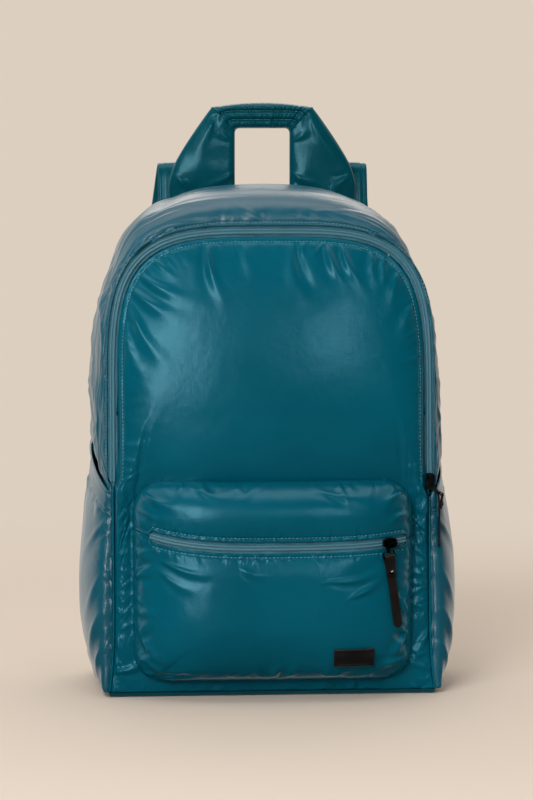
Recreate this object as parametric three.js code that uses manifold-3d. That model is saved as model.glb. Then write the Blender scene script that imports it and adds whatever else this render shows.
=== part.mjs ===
// A puffer backpack that stands on its base: padded walls round a hollow main compartment, an arched
// zip, a puffed front pocket with its own zip, two open side pockets, a folded top handle and two
// padded shoulder straps. Millimetres, +Z up, front towards -Y, origin in the middle of the base.
import * as THREE from "three";
import Module from "manifold-3d";
import { mergeVertices } from "three/addons/utils/BufferGeometryUtils.js";

// Main body
const BASE_DEPTH = 140; // back seam to front seam at the base
const TOP_LEAN = 28; // how far the front seam leans back over its height
const BASE_HALF_WIDTH = 145;
const BASE_THICKNESS = 4;
const BASE_EDGE_ROUND = 3;
const BODY_HALF_WIDTH = 155;
const BODY_HEIGHT = 438;
const FRONT_HALF_WIDTH = 137.5; // at the zip's centre line
const FRONT_HEIGHT = 401;
const FRONT_ARCH_RISE = 146;
const BACK_HALF_WIDTH = 141;
const BACK_HEIGHT = 424;
const BACK_ARCH_RISE = 182;
const FLARE_HEIGHT = 62; // below it the seams run out to the base's corners
const NIP_DEPTH = 8; // the side pockets press the side walls in by this much
const SIDE_WALL = 6;
const FRONT_WALL = 7;
const BACK_WALL = 10;
const BACK_PAD = 3; // the back's padding stands this far out of the back seam
const FRONT_PUFF = 25; // bulge of the front above its pocket
const FRONT_PUFF_BEHIND_POCKET = 9;

// Zips
const SEAM_GAP = 0.6;
const CLEARANCE = 0.4;
const ZIP_HALF_WIDTH = 5;
const ZIP_END_HEIGHT = 182;
const ZIP_RECESS = 1.2;
const TAPE_THICKNESS = 1.4;
const COIL_HALF_WIDTH = 2.4;
const COIL_HEIGHT = 1.5;

// Front pocket
const POCKET_HALF_WIDTH = 121;
const POCKET_FOOT = 14;
const POCKET_TOP = 188;
const POCKET_DEPTH = 34;
const POCKET_CORNER = 26;
const POCKET_POWER = 4.5; // how square its face is: more is flatter with steeper sides
const POCKET_WALL = 4.5;
const POCKET_ZIP_HEIGHT = 133;
const POCKET_ZIP_RISE_LEFT = 14; // the zip climbs this much towards the pocket's left edge
const POCKET_ZIP_RISE_RIGHT = 5;
const POCKET_SLIDER_X = 0.81 * POCKET_HALF_WIDTH;
const LABEL_WIDTH = 35;
const LABEL_HEIGHT = 16;
const LABEL_THICKNESS = 1.4;
const LABEL_X = 0.554 * POCKET_HALF_WIDTH;
const LABEL_Z = 38;

// Side pockets
const SIDE_POCKET_WALL = 2.5;
const SIDE_POCKET_SLACK = 14;
const SIDE_POCKET_MOUTH = 7; // how far the hem stands off the side wall at its middle
const HEM_FRONT_HEIGHT = 177;
const HEM_BACK_HEIGHT = 222;

// Handle
const HANDLE_TOP = 512;
const HANDLE_FOOT_DROP = 18; // its feet are sewn on this far below the back seam
const HANDLE_WINDOW_HALF_WIDTH = 24.5;
const HANDLE_FOOT_HALF_WIDTH = 84.5;
const HANDLE_CORNER_HALF_WIDTH = 42;
const HANDLE_WING_THICKNESS = 15;
const HANDLE_FOOT_THICKNESS = 4.5;
const GRIP_HEIGHT = 23;
const GRIP_THICKNESS = 13;
const GRIP_ARCH = 4;

// Shoulder straps
const STRAP_WIDTH = 60;
const STRAP_THICKNESS = 12;
const STRAP_FOOT_THICKNESS = 4;
const STRAP_LOOP_TOP = 456;
const STRAP_END_HEIGHT = 138;
const STRAP_TOP_X = 56;
const STRAP_END_X = 90;
const STRAP_BOW = 46; // how far the strap's middle hangs out behind the back
const WEBBING_WIDTH = 25;
const WEBBING_THICKNESS = 2;
const WEBBING_LAP = 26; // how far the webbing runs up behind the padded strap's end
const ANCHOR_X = 118;
const ANCHOR_HEIGHT = 26;
const ANCHOR_SIZE = 38;
const ADJUSTER_WIDTH = 36;
const ADJUSTER_HEIGHT = 26;
const ADJUSTER_THICKNESS = 5;
const ADJUSTER_BAR = 5;

// Sliders and pullers
const SLIDER_LENGTH = 13;
const SLIDER_WIDTH = 8;
const SLIDER_THICKNESS = 2.6;
const LUG_LENGTH = 9;
const LUG_WIDTH = 2.2;
const LUG_HEIGHT = 4.6;
const LUG_BAR = 1.4;
const LINK_THICKNESS = 1.3;
const LINK_EYE_RADIUS = 4;
const LINK_EYE_HOLE = 2.3;
const LINK_LENGTH = 12;
const LINK_SLOT = 4.2;
const LEATHER_WIDTH = 8.6;
const LEATHER_THICKNESS = 1.3;
const TAB_FLAP_SHARE = 0.28; // the folded end's share of a tab's length
const TAB_STEP = 8;
const PITCH_STEP = 0.01; // radians
const LINK_MOST_PITCH = 0.25;
const TAB_MOST_PITCH = 0.5;
const POCKET_TAB_LENGTH = 62;
const POCKET_TAB_LEAN = 0.15; // radians
const MAIN_TAB_LENGTH = 46;
const MAIN_LINK_LEAN = 0.85;
const RIVET_RADIUS = 2.4;
const RIVET_HEIGHT = 0.9;

// How square each arch is, and the side wall across its depth: 2 is round, more is squarer.
const FRONT_ARCH_POWER = 3.8;
const BACK_ARCH_POWER = 2.8;
const SIDE_WALL_POWER = 2.4;

// The soft crest sags a little more on the right: where each shoulder starts below the top, and how
// square it is.
const CREST_ARCH = {
  left: { archRise: 194, power: 2.95 },
  right: { archRise: 230, power: 2.9 },
};

// Gathers where the front is sewn to the zip: place along the zip from its left end, reach in from
// the seam and depth, as shares of the zip's length, the front's half width and its puff.
const FRONT_GATHERS = [
  { at: 0.3, reach: 0.42, depth: 0.1 },
  { at: 0.34, reach: 0.5, depth: 0.12 },
  { at: 0.38, reach: 0.34, depth: 0.1 },
  { at: 0.445, reach: 0.42, depth: 0.09 },
  { at: 0.56, reach: 0.5, depth: 0.12 },
  { at: 0.6, reach: 0.46, depth: 0.12 },
  { at: 0.64, reach: 0.4, depth: 0.1 },
  { at: 0.68, reach: 0.32, depth: 0.09 },
];
const GATHER_WIDTH = 0.011; // of the zip's length

// Folds that slant across the side wall: place along the wall from its left foot, slant over the
// wall's depth, and height, as shares of the wall's length and thickness.
const SIDE_FOLDS = [
  { at: 0.24, slant: -0.05, height: 0.28 },
  { at: 0.285, slant: -0.06, height: 0.32 },
  { at: 0.33, slant: -0.05, height: 0.26 },
  { at: 0.39, slant: -0.04, height: 0.24 },
  { at: 0.61, slant: 0.04, height: 0.24 },
  { at: 0.67, slant: 0.05, height: 0.3 },
  { at: 0.715, slant: 0.06, height: 0.32 },
  { at: 0.76, slant: 0.05, height: 0.28 },
];
const SIDE_FOLD_WIDTH = 0.012; // of the wall's length

// A handle wing from its foot to the fold at the grip, as shares of the wing's rise, of the way from
// the corner's to the foot's half width, and of its full thickness.
const WING_ROWS = [
  { rise: 0, spread: 1, thickness: 0 },
  { rise: 0.2, spread: 1, thickness: 0.04 },
  { rise: 0.32, spread: 0.98, thickness: 0.4 },
  { rise: 0.43, spread: 0.97, thickness: 0.85 },
  { rise: 0.56, spread: 0.9, thickness: 1 },
  { rise: 0.7, spread: 0.69, thickness: 0.95 },
  { rise: 0.84, spread: 0.43, thickness: 0.85 },
  { rise: 0.95, spread: 0.18, thickness: 0.7 },
];

// The padded strap from its foot over the loop and down the back, as shares: height between its
// lower end (0) and the loop's top (1), way outwards, bow behind the back, and padding.
const STRAP_ROWS = [
  { height: 0.835, outwards: 0, bow: 0, padding: 0 },
  { height: 0.93, outwards: 0, bow: 0.12, padding: 0.1 },
  { height: 0.985, outwards: 0, bow: 0.22, padding: 0.1 },
  { height: 1, outwards: 0, bow: 0.36, padding: 0.1 },
  { height: 0.975, outwards: 0.03, bow: 0.5, padding: 0.2 },
  { height: 0.88, outwards: 0.16, bow: 0.7, padding: 0.7 },
  { height: 0.72, outwards: 0.4, bow: 0.9, padding: 1 },
  { height: 0.5, outwards: 0.7, bow: 1, padding: 1 },
  { height: 0.3, outwards: 0.9, bow: 0.84, padding: 1 },
  { height: 0.12, outwards: 0.98, bow: 0.56, padding: 0.8 },
  { height: 0, outwards: 1, bow: 0.4, padding: 0.2 },
];

const FRONT_SEAM_Y = -BASE_DEPTH / 2;
const BACK_SEAM_Y = BASE_DEPTH / 2;
const WALL_FOOT = BASE_THICKNESS + CLEARANCE;
const LEFT = -1;
const RIGHT = 1;

const wasm = await Module();
wasm.setup();

const { clamp, lerp, smoothstep } = THREE.MathUtils;

// Materials, one for each finish

const finishes = {
  nylon: new THREE.MeshStandardMaterial({ color: 0x00525f, roughness: 0.3, metalness: 0 }),
  lining: new THREE.MeshStandardMaterial({ color: 0x013f4b, roughness: 0.55, metalness: 0 }),
  tape: new THREE.MeshStandardMaterial({ color: 0x2f6672, roughness: 0.6, metalness: 0 }),
  coil: new THREE.MeshStandardMaterial({ color: 0x1b3f55, roughness: 0.45, metalness: 0 }),
  metal: new THREE.MeshStandardMaterial({ color: 0x17181a, roughness: 0.35, metalness: 0.9 }),
  leather: new THREE.MeshStandardMaterial({ color: 0x2c2627, roughness: 0.5, metalness: 0 }),
  plastic: new THREE.MeshStandardMaterial({ color: 0x14181a, roughness: 0.45, metalness: 0 }),
};

const backpack = new THREE.Group();
backpack.name = "puffer_backpack";

function addPiece(name, geometry, finish, parent = backpack) {
  const mesh = new THREE.Mesh(geometry, finishes[finish]);
  mesh.name = name;
  parent.add(mesh);
  return mesh;
}

// Closed solids from points

// A geometry from points and triangles, turned so that its faces point out.
function closedGeometry(points, triangles) {
  let volume = 0;
  for (const [a, b, c] of triangles) {
    volume += points[a].dot(new THREE.Vector3().crossVectors(points[b], points[c]));
  }
  const facingOut = volume > 0 ? triangles : triangles.map(([a, b, c]) => [a, c, b]);
  const geometry = new THREE.BufferGeometry().setFromPoints(points);
  geometry.setIndex(facingOut.flat());
  geometry.computeVertexNormals();
  return geometry;
}

// A wall between two grids of points of the same size, joined round their rim.
function wallBetween(outer, inner) {
  const rows = outer.length;
  const columns = outer[0].length;
  const points = [...outer.flat(), ...inner.flat()];
  const at = (row, column, side) => side * rows * columns + row * columns + column;
  const triangles = [];
  const quad = (a, b, c, d) => triangles.push([a, b, c], [a, c, d]);
  for (let r = 0; r < rows - 1; r++) {
    for (let c = 0; c < columns - 1; c++) {
      quad(at(r, c, 0), at(r, c + 1, 0), at(r + 1, c + 1, 0), at(r + 1, c, 0));
      quad(at(r + 1, c, 1), at(r + 1, c + 1, 1), at(r, c + 1, 1), at(r, c, 1));
    }
    quad(at(r + 1, 0, 0), at(r + 1, 0, 1), at(r, 0, 1), at(r, 0, 0));
    const last = columns - 1;
    quad(at(r, last, 0), at(r, last, 1), at(r + 1, last, 1), at(r + 1, last, 0));
  }
  for (let c = 0; c < columns - 1; c++) {
    const last = rows - 1;
    quad(at(0, c, 0), at(0, c, 1), at(0, c + 1, 1), at(0, c + 1, 0));
    quad(at(last, c + 1, 0), at(last, c + 1, 1), at(last, c, 1), at(last, c, 0));
  }
  return closedGeometry(points, triangles);
}

// Outward normals of a grid of points, from its neighbours, on the side of the given direction.
function gridNormals(grid, outwards) {
  return grid.map((row, r) =>
    row.map((point, c) => {
      const alongRow = row[Math.min(c + 1, row.length - 1)].clone().sub(row[Math.max(c - 1, 0)]);
      const nextRow = grid[Math.min(r + 1, grid.length - 1)][c];
      const acrossRows = nextRow.clone().sub(grid[Math.max(r - 1, 0)][c]);
      const normal = alongRow.cross(acrossRows).normalize();
      return normal.dot(outwards(point)) < 0 ? normal.negate() : normal;
    }),
  );
}

// A grid of points moved along its normals.
function offsetGrid(grid, normals, distance) {
  return grid.map((row, r) =>
    row.map((point, c) => point.clone().addScaledVector(normals[r][c], distance)),
  );
}

// A wall from closed rings of points: each list holds rings from the middle outwards.
function wallBetweenRings(outerRings, outerMiddle, innerRings, innerMiddle) {
  const count = outerRings[0].length;
  const rings = outerRings.length;
  const points = [...outerRings.flat(), ...innerRings.flat(), outerMiddle, innerMiddle];
  const at = (ring, k, side) => side * rings * count + ring * count + (k % count);
  const middle = [points.length - 2, points.length - 1];
  const triangles = [];
  for (let k = 0; k < count; k++) {
    triangles.push([middle[0], at(0, k, 0), at(0, k + 1, 0)]);
    triangles.push([middle[1], at(0, k + 1, 1), at(0, k, 1)]);
    for (let r = 0; r < rings - 1; r++) {
      triangles.push([at(r, k, 0), at(r + 1, k, 0), at(r + 1, k + 1, 0)]);
      triangles.push([at(r, k, 0), at(r + 1, k + 1, 0), at(r, k + 1, 0)]);
      triangles.push([at(r, k, 1), at(r + 1, k + 1, 1), at(r + 1, k, 1)]);
      triangles.push([at(r, k, 1), at(r, k + 1, 1), at(r + 1, k + 1, 1)]);
    }
    const last = rings - 1;
    triangles.push([at(last, k, 0), at(last, k, 1), at(last, k + 1, 1)]);
    triangles.push([at(last, k, 0), at(last, k + 1, 1), at(last, k + 1, 0)]);
  }
  return closedGeometry(points, triangles);
}

// A solid through closed loops of points of the same size, capped at both ends.
function loftThrough(loops) {
  const count = loops[0].length;
  const points = loops.flat();
  const triangles = [];
  for (let l = 0; l < loops.length - 1; l++) {
    for (let k = 0; k < count; k++) {
      const next = (k + 1) % count;
      triangles.push([l * count + k, l * count + next, (l + 1) * count + next]);
      triangles.push([l * count + k, (l + 1) * count + next, (l + 1) * count + k]);
    }
  }
  for (const [l, turned] of [[0, true], [loops.length - 1, false]]) {
    const middle = new THREE.Vector3();
    loops[l].forEach((point) => middle.addScaledVector(point, 1 / count));
    points.push(middle);
    for (let k = 0; k < count; k++) {
      const [a, b] = [l * count + k, l * count + ((k + 1) % count)];
      triangles.push(turned ? [points.length - 1, b, a] : [points.length - 1, a, b]);
    }
  }
  return closedGeometry(points, triangles);
}

// The first point of a piece that a line meets.
const probe = new THREE.Raycaster();
function firstHit(mesh, start, direction) {
  probe.set(start, direction);
  const [hit] = probe.intersectObject(mesh);
  return hit?.point;
}

// Booleans

function solidOf(geometry) {
  const bare = geometry.index ? geometry.toNonIndexed() : geometry.clone();
  bare.deleteAttribute("normal");
  bare.deleteAttribute("uv");
  const merged = mergeVertices(bare, 1e-4);
  return new wasm.Manifold(
    new wasm.Mesh({
      numProp: 3,
      vertProperties: merged.attributes.position.array,
      triVerts: new Uint32Array(merged.index.array),
    }),
  );
}

function geometryOf(solid) {
  const mesh = solid.getMesh();
  const geometry = new THREE.BufferGeometry();
  geometry.setAttribute("position", new THREE.BufferAttribute(mesh.vertProperties, 3));
  geometry.setIndex(new THREE.BufferAttribute(mesh.triVerts, 1));
  geometry.computeVertexNormals();
  return geometry;
}

function placedBox(width, depth, height, x, y, z) {
  return new THREE.BoxGeometry(width, depth, height).translate(x, y, z);
}

// The body's outlines

// Half of an arched outline in the XZ plane, from the foot of a wall up to the top centre.
class HalfOutline extends THREE.Curve {
  constructor({ halfWidth, height, archRise, power, nip = 0, footHalfWidth }) {
    super();
    Object.assign(this, { halfWidth, height, archRise, power, nip, footHalfWidth });
    this.spring = height - archRise;
    this.arcLengthDivisions = 600;
  }

  halfWidthAt(z) {
    const above = smoothstep(z, HEM_FRONT_HEIGHT + 14, HEM_BACK_HEIGHT + 6);
    const nipped = this.halfWidth - this.nip * (1 - above);
    const share = clamp(z / FLARE_HEIGHT, 0, 1);
    return lerp(this.footHalfWidth, nipped, 1 - (1 - share) ** 2);
  }

  // 0 in the middle, 1 on the outline moved inwards by the inset.
  shareAt(x, z, inset) {
    if (z <= this.spring) {
      return Math.abs(x) / (this.halfWidthAt(z) - inset);
    }
    const across = Math.abs(x) / (this.halfWidthAt(this.spring) - inset);
    const up = (z - this.spring) / (this.archRise - inset);
    return (across ** this.power + up ** this.power) ** (1 / this.power);
  }

  getPoint(t, target = new THREE.Vector3()) {
    const straightShare = 0.5;
    if (t < straightShare) {
      const z = lerp(WALL_FOOT, this.spring, t / straightShare);
      return target.set(this.halfWidthAt(z), 0, z);
    }
    const angle = ((t - straightShare) / (1 - straightShare)) * (Math.PI / 2);
    const [across, up] = [Math.cos(angle), Math.sin(angle)];
    const reach = (across ** this.power + up ** this.power) ** (-1 / this.power);
    const x = this.halfWidthAt(this.spring) * reach * across;
    return target.set(t === 1 ? 0 : x, 0, this.spring + this.archRise * reach * up);
  }

  outwardAt(share) {
    const tangent = this.getTangentAt(clamp(share, 0, 1));
    return new THREE.Vector3(tangent.z, 0, -tangent.x);
  }
}

const FRONT = new HalfOutline({
  halfWidth: FRONT_HALF_WIDTH,
  height: FRONT_HEIGHT,
  archRise: FRONT_ARCH_RISE,
  power: FRONT_ARCH_POWER,
  footHalfWidth: BASE_HALF_WIDTH - BASE_EDGE_ROUND,
});
function crestOutline({ archRise, power }) {
  return new HalfOutline({
    halfWidth: BODY_HALF_WIDTH,
    height: BODY_HEIGHT,
    archRise,
    power,
    nip: NIP_DEPTH,
    footHalfWidth: BASE_HALF_WIDTH,
  });
}

const CREST = { [LEFT]: crestOutline(CREST_ARCH.left), [RIGHT]: crestOutline(CREST_ARCH.right) };
const BACK = new HalfOutline({
  halfWidth: BACK_HALF_WIDTH,
  height: BACK_HEIGHT,
  archRise: BACK_ARCH_RISE,
  power: BACK_ARCH_POWER,
  footHalfWidth: BASE_HALF_WIDTH - BASE_EDGE_ROUND,
});

// The front seam's plane leans back as it climbs.
function frontSeamY(z) {
  return FRONT_SEAM_Y + TOP_LEAN * (z / FRONT_HEIGHT);
}

// Share of a half outline's length at which it reaches a height.
function shareAtHeight(outline, z) {
  let [low, high] = [0, 1];
  for (let i = 0; i < 40; i++) {
    const middle = (low + high) / 2;
    if (outline.getPointAt(middle).z < z) low = middle;
    else high = middle;
  }
  return low;
}

// 0 where the front is sewn to the side wall, 1 where the zip runs between them.
function zipOpenness(z) {
  return smoothstep(z, ZIP_END_HEIGHT - 2 * ZIP_HALF_WIDTH, ZIP_END_HEIGHT - 0.01);
}

// Half the room between the front and the side wall.
function seamHalfRoom(z) {
  return lerp(SEAM_GAP / 2, ZIP_HALF_WIDTH, zipOpenness(z));
}

// A point of the front seam. Place runs from 0 at the left foot over the top to 1 at the right foot.
function frontSeamPoint(place, outwards) {
  const side = place < 0.5 ? LEFT : RIGHT;
  const share = 2 * Math.min(place, 1 - place);
  const point = FRONT.getPointAt(share);
  point.addScaledVector(FRONT.outwardAt(share), outwards);
  const middle = Math.abs(place - 0.5) < 1e-6;
  return new THREE.Vector3(middle ? 0 : side * point.x, frontSeamY(point.z), point.z);
}

function frontEdgePoint(place, outwards) {
  const seam = frontSeamPoint(place, 0);
  const point = frontSeamPoint(place, outwards * seamHalfRoom(seam.z));
  point.z = Math.max(point.z, WALL_FOOT);
  return point;
}

// The way out of the body at a place, level with the outline.
function outwardAtPlace(outline, place) {
  const outward = outline.outwardAt(2 * Math.min(place, 1 - place));
  outward.x *= place < 0.5 ? LEFT : RIGHT;
  return outward;
}

// Places along the seam that the front, the zip and the side wall share, so that their edges match.
const ZIP_START_PLACE = shareAtHeight(FRONT, ZIP_END_HEIGHT) / 2;
const SEGMENTS_BELOW_ZIP = 8;
const SEGMENTS_ALONG_ZIP = 52;
const SEAM_PLACES = [];
for (let i = 0; i < SEGMENTS_BELOW_ZIP; i++) {
  SEAM_PLACES.push((ZIP_START_PLACE * i) / SEGMENTS_BELOW_ZIP);
}
for (let i = 0; i <= SEGMENTS_ALONG_ZIP; i++) {
  SEAM_PLACES.push(lerp(ZIP_START_PLACE, 1 - ZIP_START_PLACE, i / SEGMENTS_ALONG_ZIP));
}
for (let i = SEGMENTS_BELOW_ZIP - 1; i >= 0; i--) {
  SEAM_PLACES.push(1 - (ZIP_START_PLACE * i) / SEGMENTS_BELOW_ZIP);
}

// The side wall

function sideFold(place, depthShare) {
  return SIDE_FOLDS.reduce((sum, fold) => {
    const along = (place - fold.at - fold.slant * (depthShare - 0.5)) / SIDE_FOLD_WIDTH;
    const across = Math.sin(Math.PI * depthShare);
    return sum + fold.height * SIDE_WALL * across * Math.exp(-along * along);
  }, 0);
}

// A point of the side wall: place along the body from the left foot, share of its depth from the front.
function sideWallPoint(place, depthShare, folded = true) {
  const side = place < 0.5 ? LEFT : RIGHT;
  const share = 2 * Math.min(place, 1 - place);
  const middle = CREST[side].getPointAt(share);
  const front = frontEdgePoint(place, 1);
  const back = BACK.getPointAt(share);
  const angle = Math.PI * depthShare;
  const bulge = Math.max(Math.sin(angle), 0) ** (2 / SIDE_WALL_POWER);
  const cosine = Math.cos(angle);
  const along = (1 - Math.sign(cosine) * Math.abs(cosine) ** (2 / SIDE_WALL_POWER)) / 2;
  const edge = depthShare < 0.5 ? { x: Math.abs(front.x), z: front.z } : back;
  const point = new THREE.Vector3(
    lerp(edge.x, middle.x, bulge),
    lerp(front.y, BACK_SEAM_Y, along),
    lerp(edge.z, middle.z, bulge),
  );
  if (folded) point.addScaledVector(CREST[side].outwardAt(share), sideFold(place, depthShare));
  point.z = Math.max(point.z, WALL_FOOT);
  point.x = Math.abs(place - 0.5) < 1e-6 ? 0 : side * point.x;
  return point;
}

const BODY_CENTRE = new THREE.Vector3(0, 0, BODY_HEIGHT / 2);
const DEPTH_SEGMENTS = 8;

function sideWall() {
  const outer = SEAM_PLACES.map((place) =>
    Array.from({ length: DEPTH_SEGMENTS + 1 }, (_, i) => sideWallPoint(place, i / DEPTH_SEGMENTS)),
  );
  const outwards = (point) => point.clone().sub(BODY_CENTRE);
  const inner = offsetGrid(outer, gridNormals(outer, outwards), -SIDE_WALL);
  SEAM_PLACES.forEach((place, r) => {
    const closed = 1 - zipOpenness(outer[r][0].z);
    const forward = outwardAtPlace(FRONT, place).multiplyScalar(-SIDE_WALL * closed);
    inner[r][0].copy(outer[r][0]).add(forward.setY(SIDE_WALL));
    const backward = outwardAtPlace(BACK, place).multiplyScalar(-SIDE_WALL);
    inner[r][DEPTH_SEGMENTS].copy(outer[r][DEPTH_SEGMENTS]).add(backward.setY(-SIDE_WALL));
  });
  for (const row of [inner[0], inner.at(-1)]) {
    row.forEach((point) => {
      point.z = WALL_FOOT;
    });
  }
  return addPiece("side_wall", wallBetween(outer, inner), "nylon");
}

// The front

// How far the padded front stands out of the seam's plane.
function frontPuff(x, z) {
  const share = clamp(FRONT.shareAt(x, z, seamHalfRoom(z)), 0, 1);
  const full = lerp(
    FRONT_PUFF_BEHIND_POCKET,
    FRONT_PUFF,
    smoothstep(z, POCKET_TOP - 2 * POCKET_CORNER, POCKET_TOP + 2 * POCKET_CORNER),
  );
  const fromFoot = clamp((z - WALL_FOOT) / FLARE_HEIGHT, 0, 1);
  return full * (1 - share ** 2.5) ** 0.8 * (1 - (1 - fromFoot) ** 3);
}

function frontSurfaceY(x, z) {
  return frontSeamY(z) - frontPuff(x, z);
}

function frontGather(place, distance) {
  const alongZip = (place - ZIP_START_PLACE) / (1 - 2 * ZIP_START_PLACE);
  return FRONT_GATHERS.reduce((sum, gather) => {
    const along = (alongZip - gather.at) / GATHER_WIDTH;
    const away = distance / (gather.reach * FRONT_HALF_WIDTH);
    const fromSeam = away * Math.exp(1 - away * away * 2) * (away < 1.6 ? 1 : 0);
    return sum + gather.depth * FRONT_PUFF * fromSeam * Math.exp(-along * along);
  }, 0);
}

const FRONT_RINGS = [0.28, 0.52, 0.72, 0.86, 0.95, 1];
const FOOT_SEGMENTS = 16;

function frontPanel() {
  const edge = SEAM_PLACES.map((place) => ({
    point: frontEdgePoint(place, -1),
    outward: outwardAtPlace(FRONT, place),
    place,
  }));
  const [first, last] = [edge[0], edge.at(-1)];
  for (let i = 1; i < FOOT_SEGMENTS; i++) {
    const share = i / FOOT_SEGMENTS;
    const point = last.point.clone().lerp(first.point, share);
    const outward = last.outward.clone().lerp(first.outward, share);
    edge.push({ point, outward, place: -1 });
  }
  const middle = new THREE.Vector3(0, 0, FRONT_HEIGHT / 2);
  const outerRings = FRONT_RINGS.map((ring) =>
    edge.map(({ point, place }) => {
      const x = point.x * ring;
      const z = lerp(middle.z, point.z, ring);
      const distance = (1 - ring) * Math.hypot(point.x, point.z - middle.z);
      const gather = place < 0 ? 0 : frontGather(place, distance);
      return new THREE.Vector3(x, frontSurfaceY(x, z) + gather, z);
    }),
  );
  middle.y = frontSurfaceY(0, middle.z);
  const wall = new THREE.Vector3(0, FRONT_WALL, 0);
  const innerRings = outerRings.map((ring) => ring.map((point) => point.clone().add(wall)));
  innerRings.at(-1).forEach((point, k) => {
    point.addScaledVector(edge[k].outward, -FRONT_WALL);
    point.z = Math.max(point.z, WALL_FOOT);
  });
  const geometry = wallBetweenRings(outerRings, middle, innerRings, middle.clone().add(wall));
  return addPiece("front_panel", geometry, "nylon");
}

// The back and the base

function backPanel() {
  const inset = SEAM_GAP;
  const places = SEAM_PLACES.filter((_, i) => i % 2 === 0);
  const edge = places.map((place) => {
    const point = sideWallPoint(place, 1, false);
    point.addScaledVector(outwardAtPlace(BACK, place), -inset);
    return point.setZ(Math.max(point.z, WALL_FOOT));
  });
  const rows = [
    { ring: 0.45, pad: 1 },
    { ring: 0.84, pad: 1 },
    { ring: 0.95, pad: 0.7 },
    { ring: 1, pad: 0 },
  ];
  const middle = new THREE.Vector3(0, BACK_SEAM_Y + BACK_PAD, BACK_HEIGHT / 2);
  const outerRings = rows.map(({ ring, pad }) =>
    edge.map((point) => {
      const z = lerp(middle.z, point.z, ring);
      return new THREE.Vector3(point.x * ring, BACK_SEAM_Y + BACK_PAD * pad, z);
    }),
  );
  const innerY = BACK_SEAM_Y + BACK_PAD - BACK_WALL;
  const innerRings = outerRings.map((ring) => ring.map((point) => point.clone().setY(innerY)));
  innerRings.at(-1).forEach((point, k) => {
    point.addScaledVector(outwardAtPlace(BACK, places[k]), -BACK_WALL);
    point.z = Math.max(point.z, WALL_FOOT);
  });
  const innerMiddle = new THREE.Vector3(0, innerY, middle.z);
  addPiece("back_panel", wallBetweenRings(outerRings, middle, innerRings, innerMiddle), "nylon");
}

function basePanel() {
  const foot = [];
  for (let i = 0; i <= DEPTH_SEGMENTS; i++) foot.push(sideWallPoint(0, i / DEPTH_SEGMENTS, false));
  for (let i = DEPTH_SEGMENTS; i >= 0; i--) foot.push(sideWallPoint(1, i / DEPTH_SEGMENTS, false));
  const loopAt = (z, inset) =>
    foot.map(({ x, y }) => {
      const [shareX, shareY] = [1 - inset / BASE_HALF_WIDTH, 1 - inset / BACK_SEAM_Y];
      return new THREE.Vector3(x * shareX, y * shareY, z);
    });
  const rows = [
    { height: 0, inset: 1 },
    { height: 0.3, inset: 0.3 },
    { height: 1, inset: 0 },
  ];
  const loops = rows.map(({ height, inset }) =>
    loopAt(height * BASE_THICKNESS, inset * BASE_EDGE_ROUND),
  );
  addPiece("base_panel", loftThrough(loops), "lining");
}

// The main zip

// A strip along the main zip with a section of points: across the zip, and out of the tape's back.
function alongMainZip(section) {
  const places = SEAM_PLACES.slice(
    SEGMENTS_BELOW_ZIP,
    SEGMENTS_BELOW_ZIP + SEGMENTS_ALONG_ZIP + 1,
  );
  const loops = places.map((place) =>
    section.map(({ across, out }) => {
      const point = frontSeamPoint(place, across);
      point.y += ZIP_RECESS + TAPE_THICKNESS - out;
      return point;
    }),
  );
  return loftThrough(loops);
}

// Section of a zip's tape, and of the two rows of its coil, which meet in a groove.
function tapeSection() {
  const half = ZIP_HALF_WIDTH - CLEARANCE;
  return [
    { across: -half, out: 0 },
    { across: half, out: 0 },
    { across: half, out: TAPE_THICKNESS },
    { across: -half, out: TAPE_THICKNESS },
  ];
}

function coilSection() {
  const foot = TAPE_THICKNESS + CLEARANCE;
  return [
    { across: -1, up: 0 },
    { across: 1, up: 0 },
    { across: 0.7, up: 1 },
    { across: 0, up: 0.6 },
    { across: -0.7, up: 1 },
  ].map(({ across, up }) => ({ across: across * COIL_HALF_WIDTH, out: foot + up * COIL_HEIGHT }));
}

function mainZip() {
  addPiece("main_zip_tape", alongMainZip(tapeSection()), "tape");
  addPiece("main_zip_coil", alongMainZip(coilSection()), "coil");
}

// The front pocket

const POCKET_MIDDLE_Z = (POCKET_FOOT + POCKET_TOP) / 2;
const POCKET_HALF_HEIGHT = (POCKET_TOP - POCKET_FOOT) / 2;

// The pocket's half width at a height, with round corners.
function pocketHalfWidthAt(z) {
  const intoCorner = Math.abs(z - POCKET_MIDDLE_Z) - (POCKET_HALF_HEIGHT - POCKET_CORNER);
  const share = clamp(intoCorner / POCKET_CORNER, 0, 1);
  return POCKET_HALF_WIDTH - POCKET_CORNER * (1 - Math.sqrt(1 - share * share));
}

// Where the front's built face lies at a place, found by looking along +Y.
function frontFaceY(x, z) {
  const start = new THREE.Vector3(x, 2 * FRONT_SEAM_Y, Math.max(z, WALL_FOOT));
  const hit = firstHit(front, start, new THREE.Vector3(0, 1, 0));
  return Math.min(frontSurfaceY(x, z), hit ? hit.y : 0);
}

// A point of the pocket's outer face: share of its half width from -1 to 1, and height.
function pocketPoint(share, z) {
  const x = share * pocketHalfWidthAt(z);
  const up = (z - POCKET_MIDDLE_Z) / POCKET_HALF_HEIGHT;
  const across = Math.max(1 - Math.abs(share) ** POCKET_POWER, 0) ** 0.4;
  const upright = Math.max(1 - Math.abs(up) ** POCKET_POWER, 0) ** 0.4;
  const y = frontFaceY(x, z) - CLEARANCE - POCKET_DEPTH * across * upright;
  return new THREE.Vector3(x, y, z);
}

function pocketZipHeight(share) {
  const rise = share < 0 ? POCKET_ZIP_RISE_LEFT : POCKET_ZIP_RISE_RIGHT;
  return POCKET_ZIP_HEIGHT + rise * Math.abs(share) ** 3;
}

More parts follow.
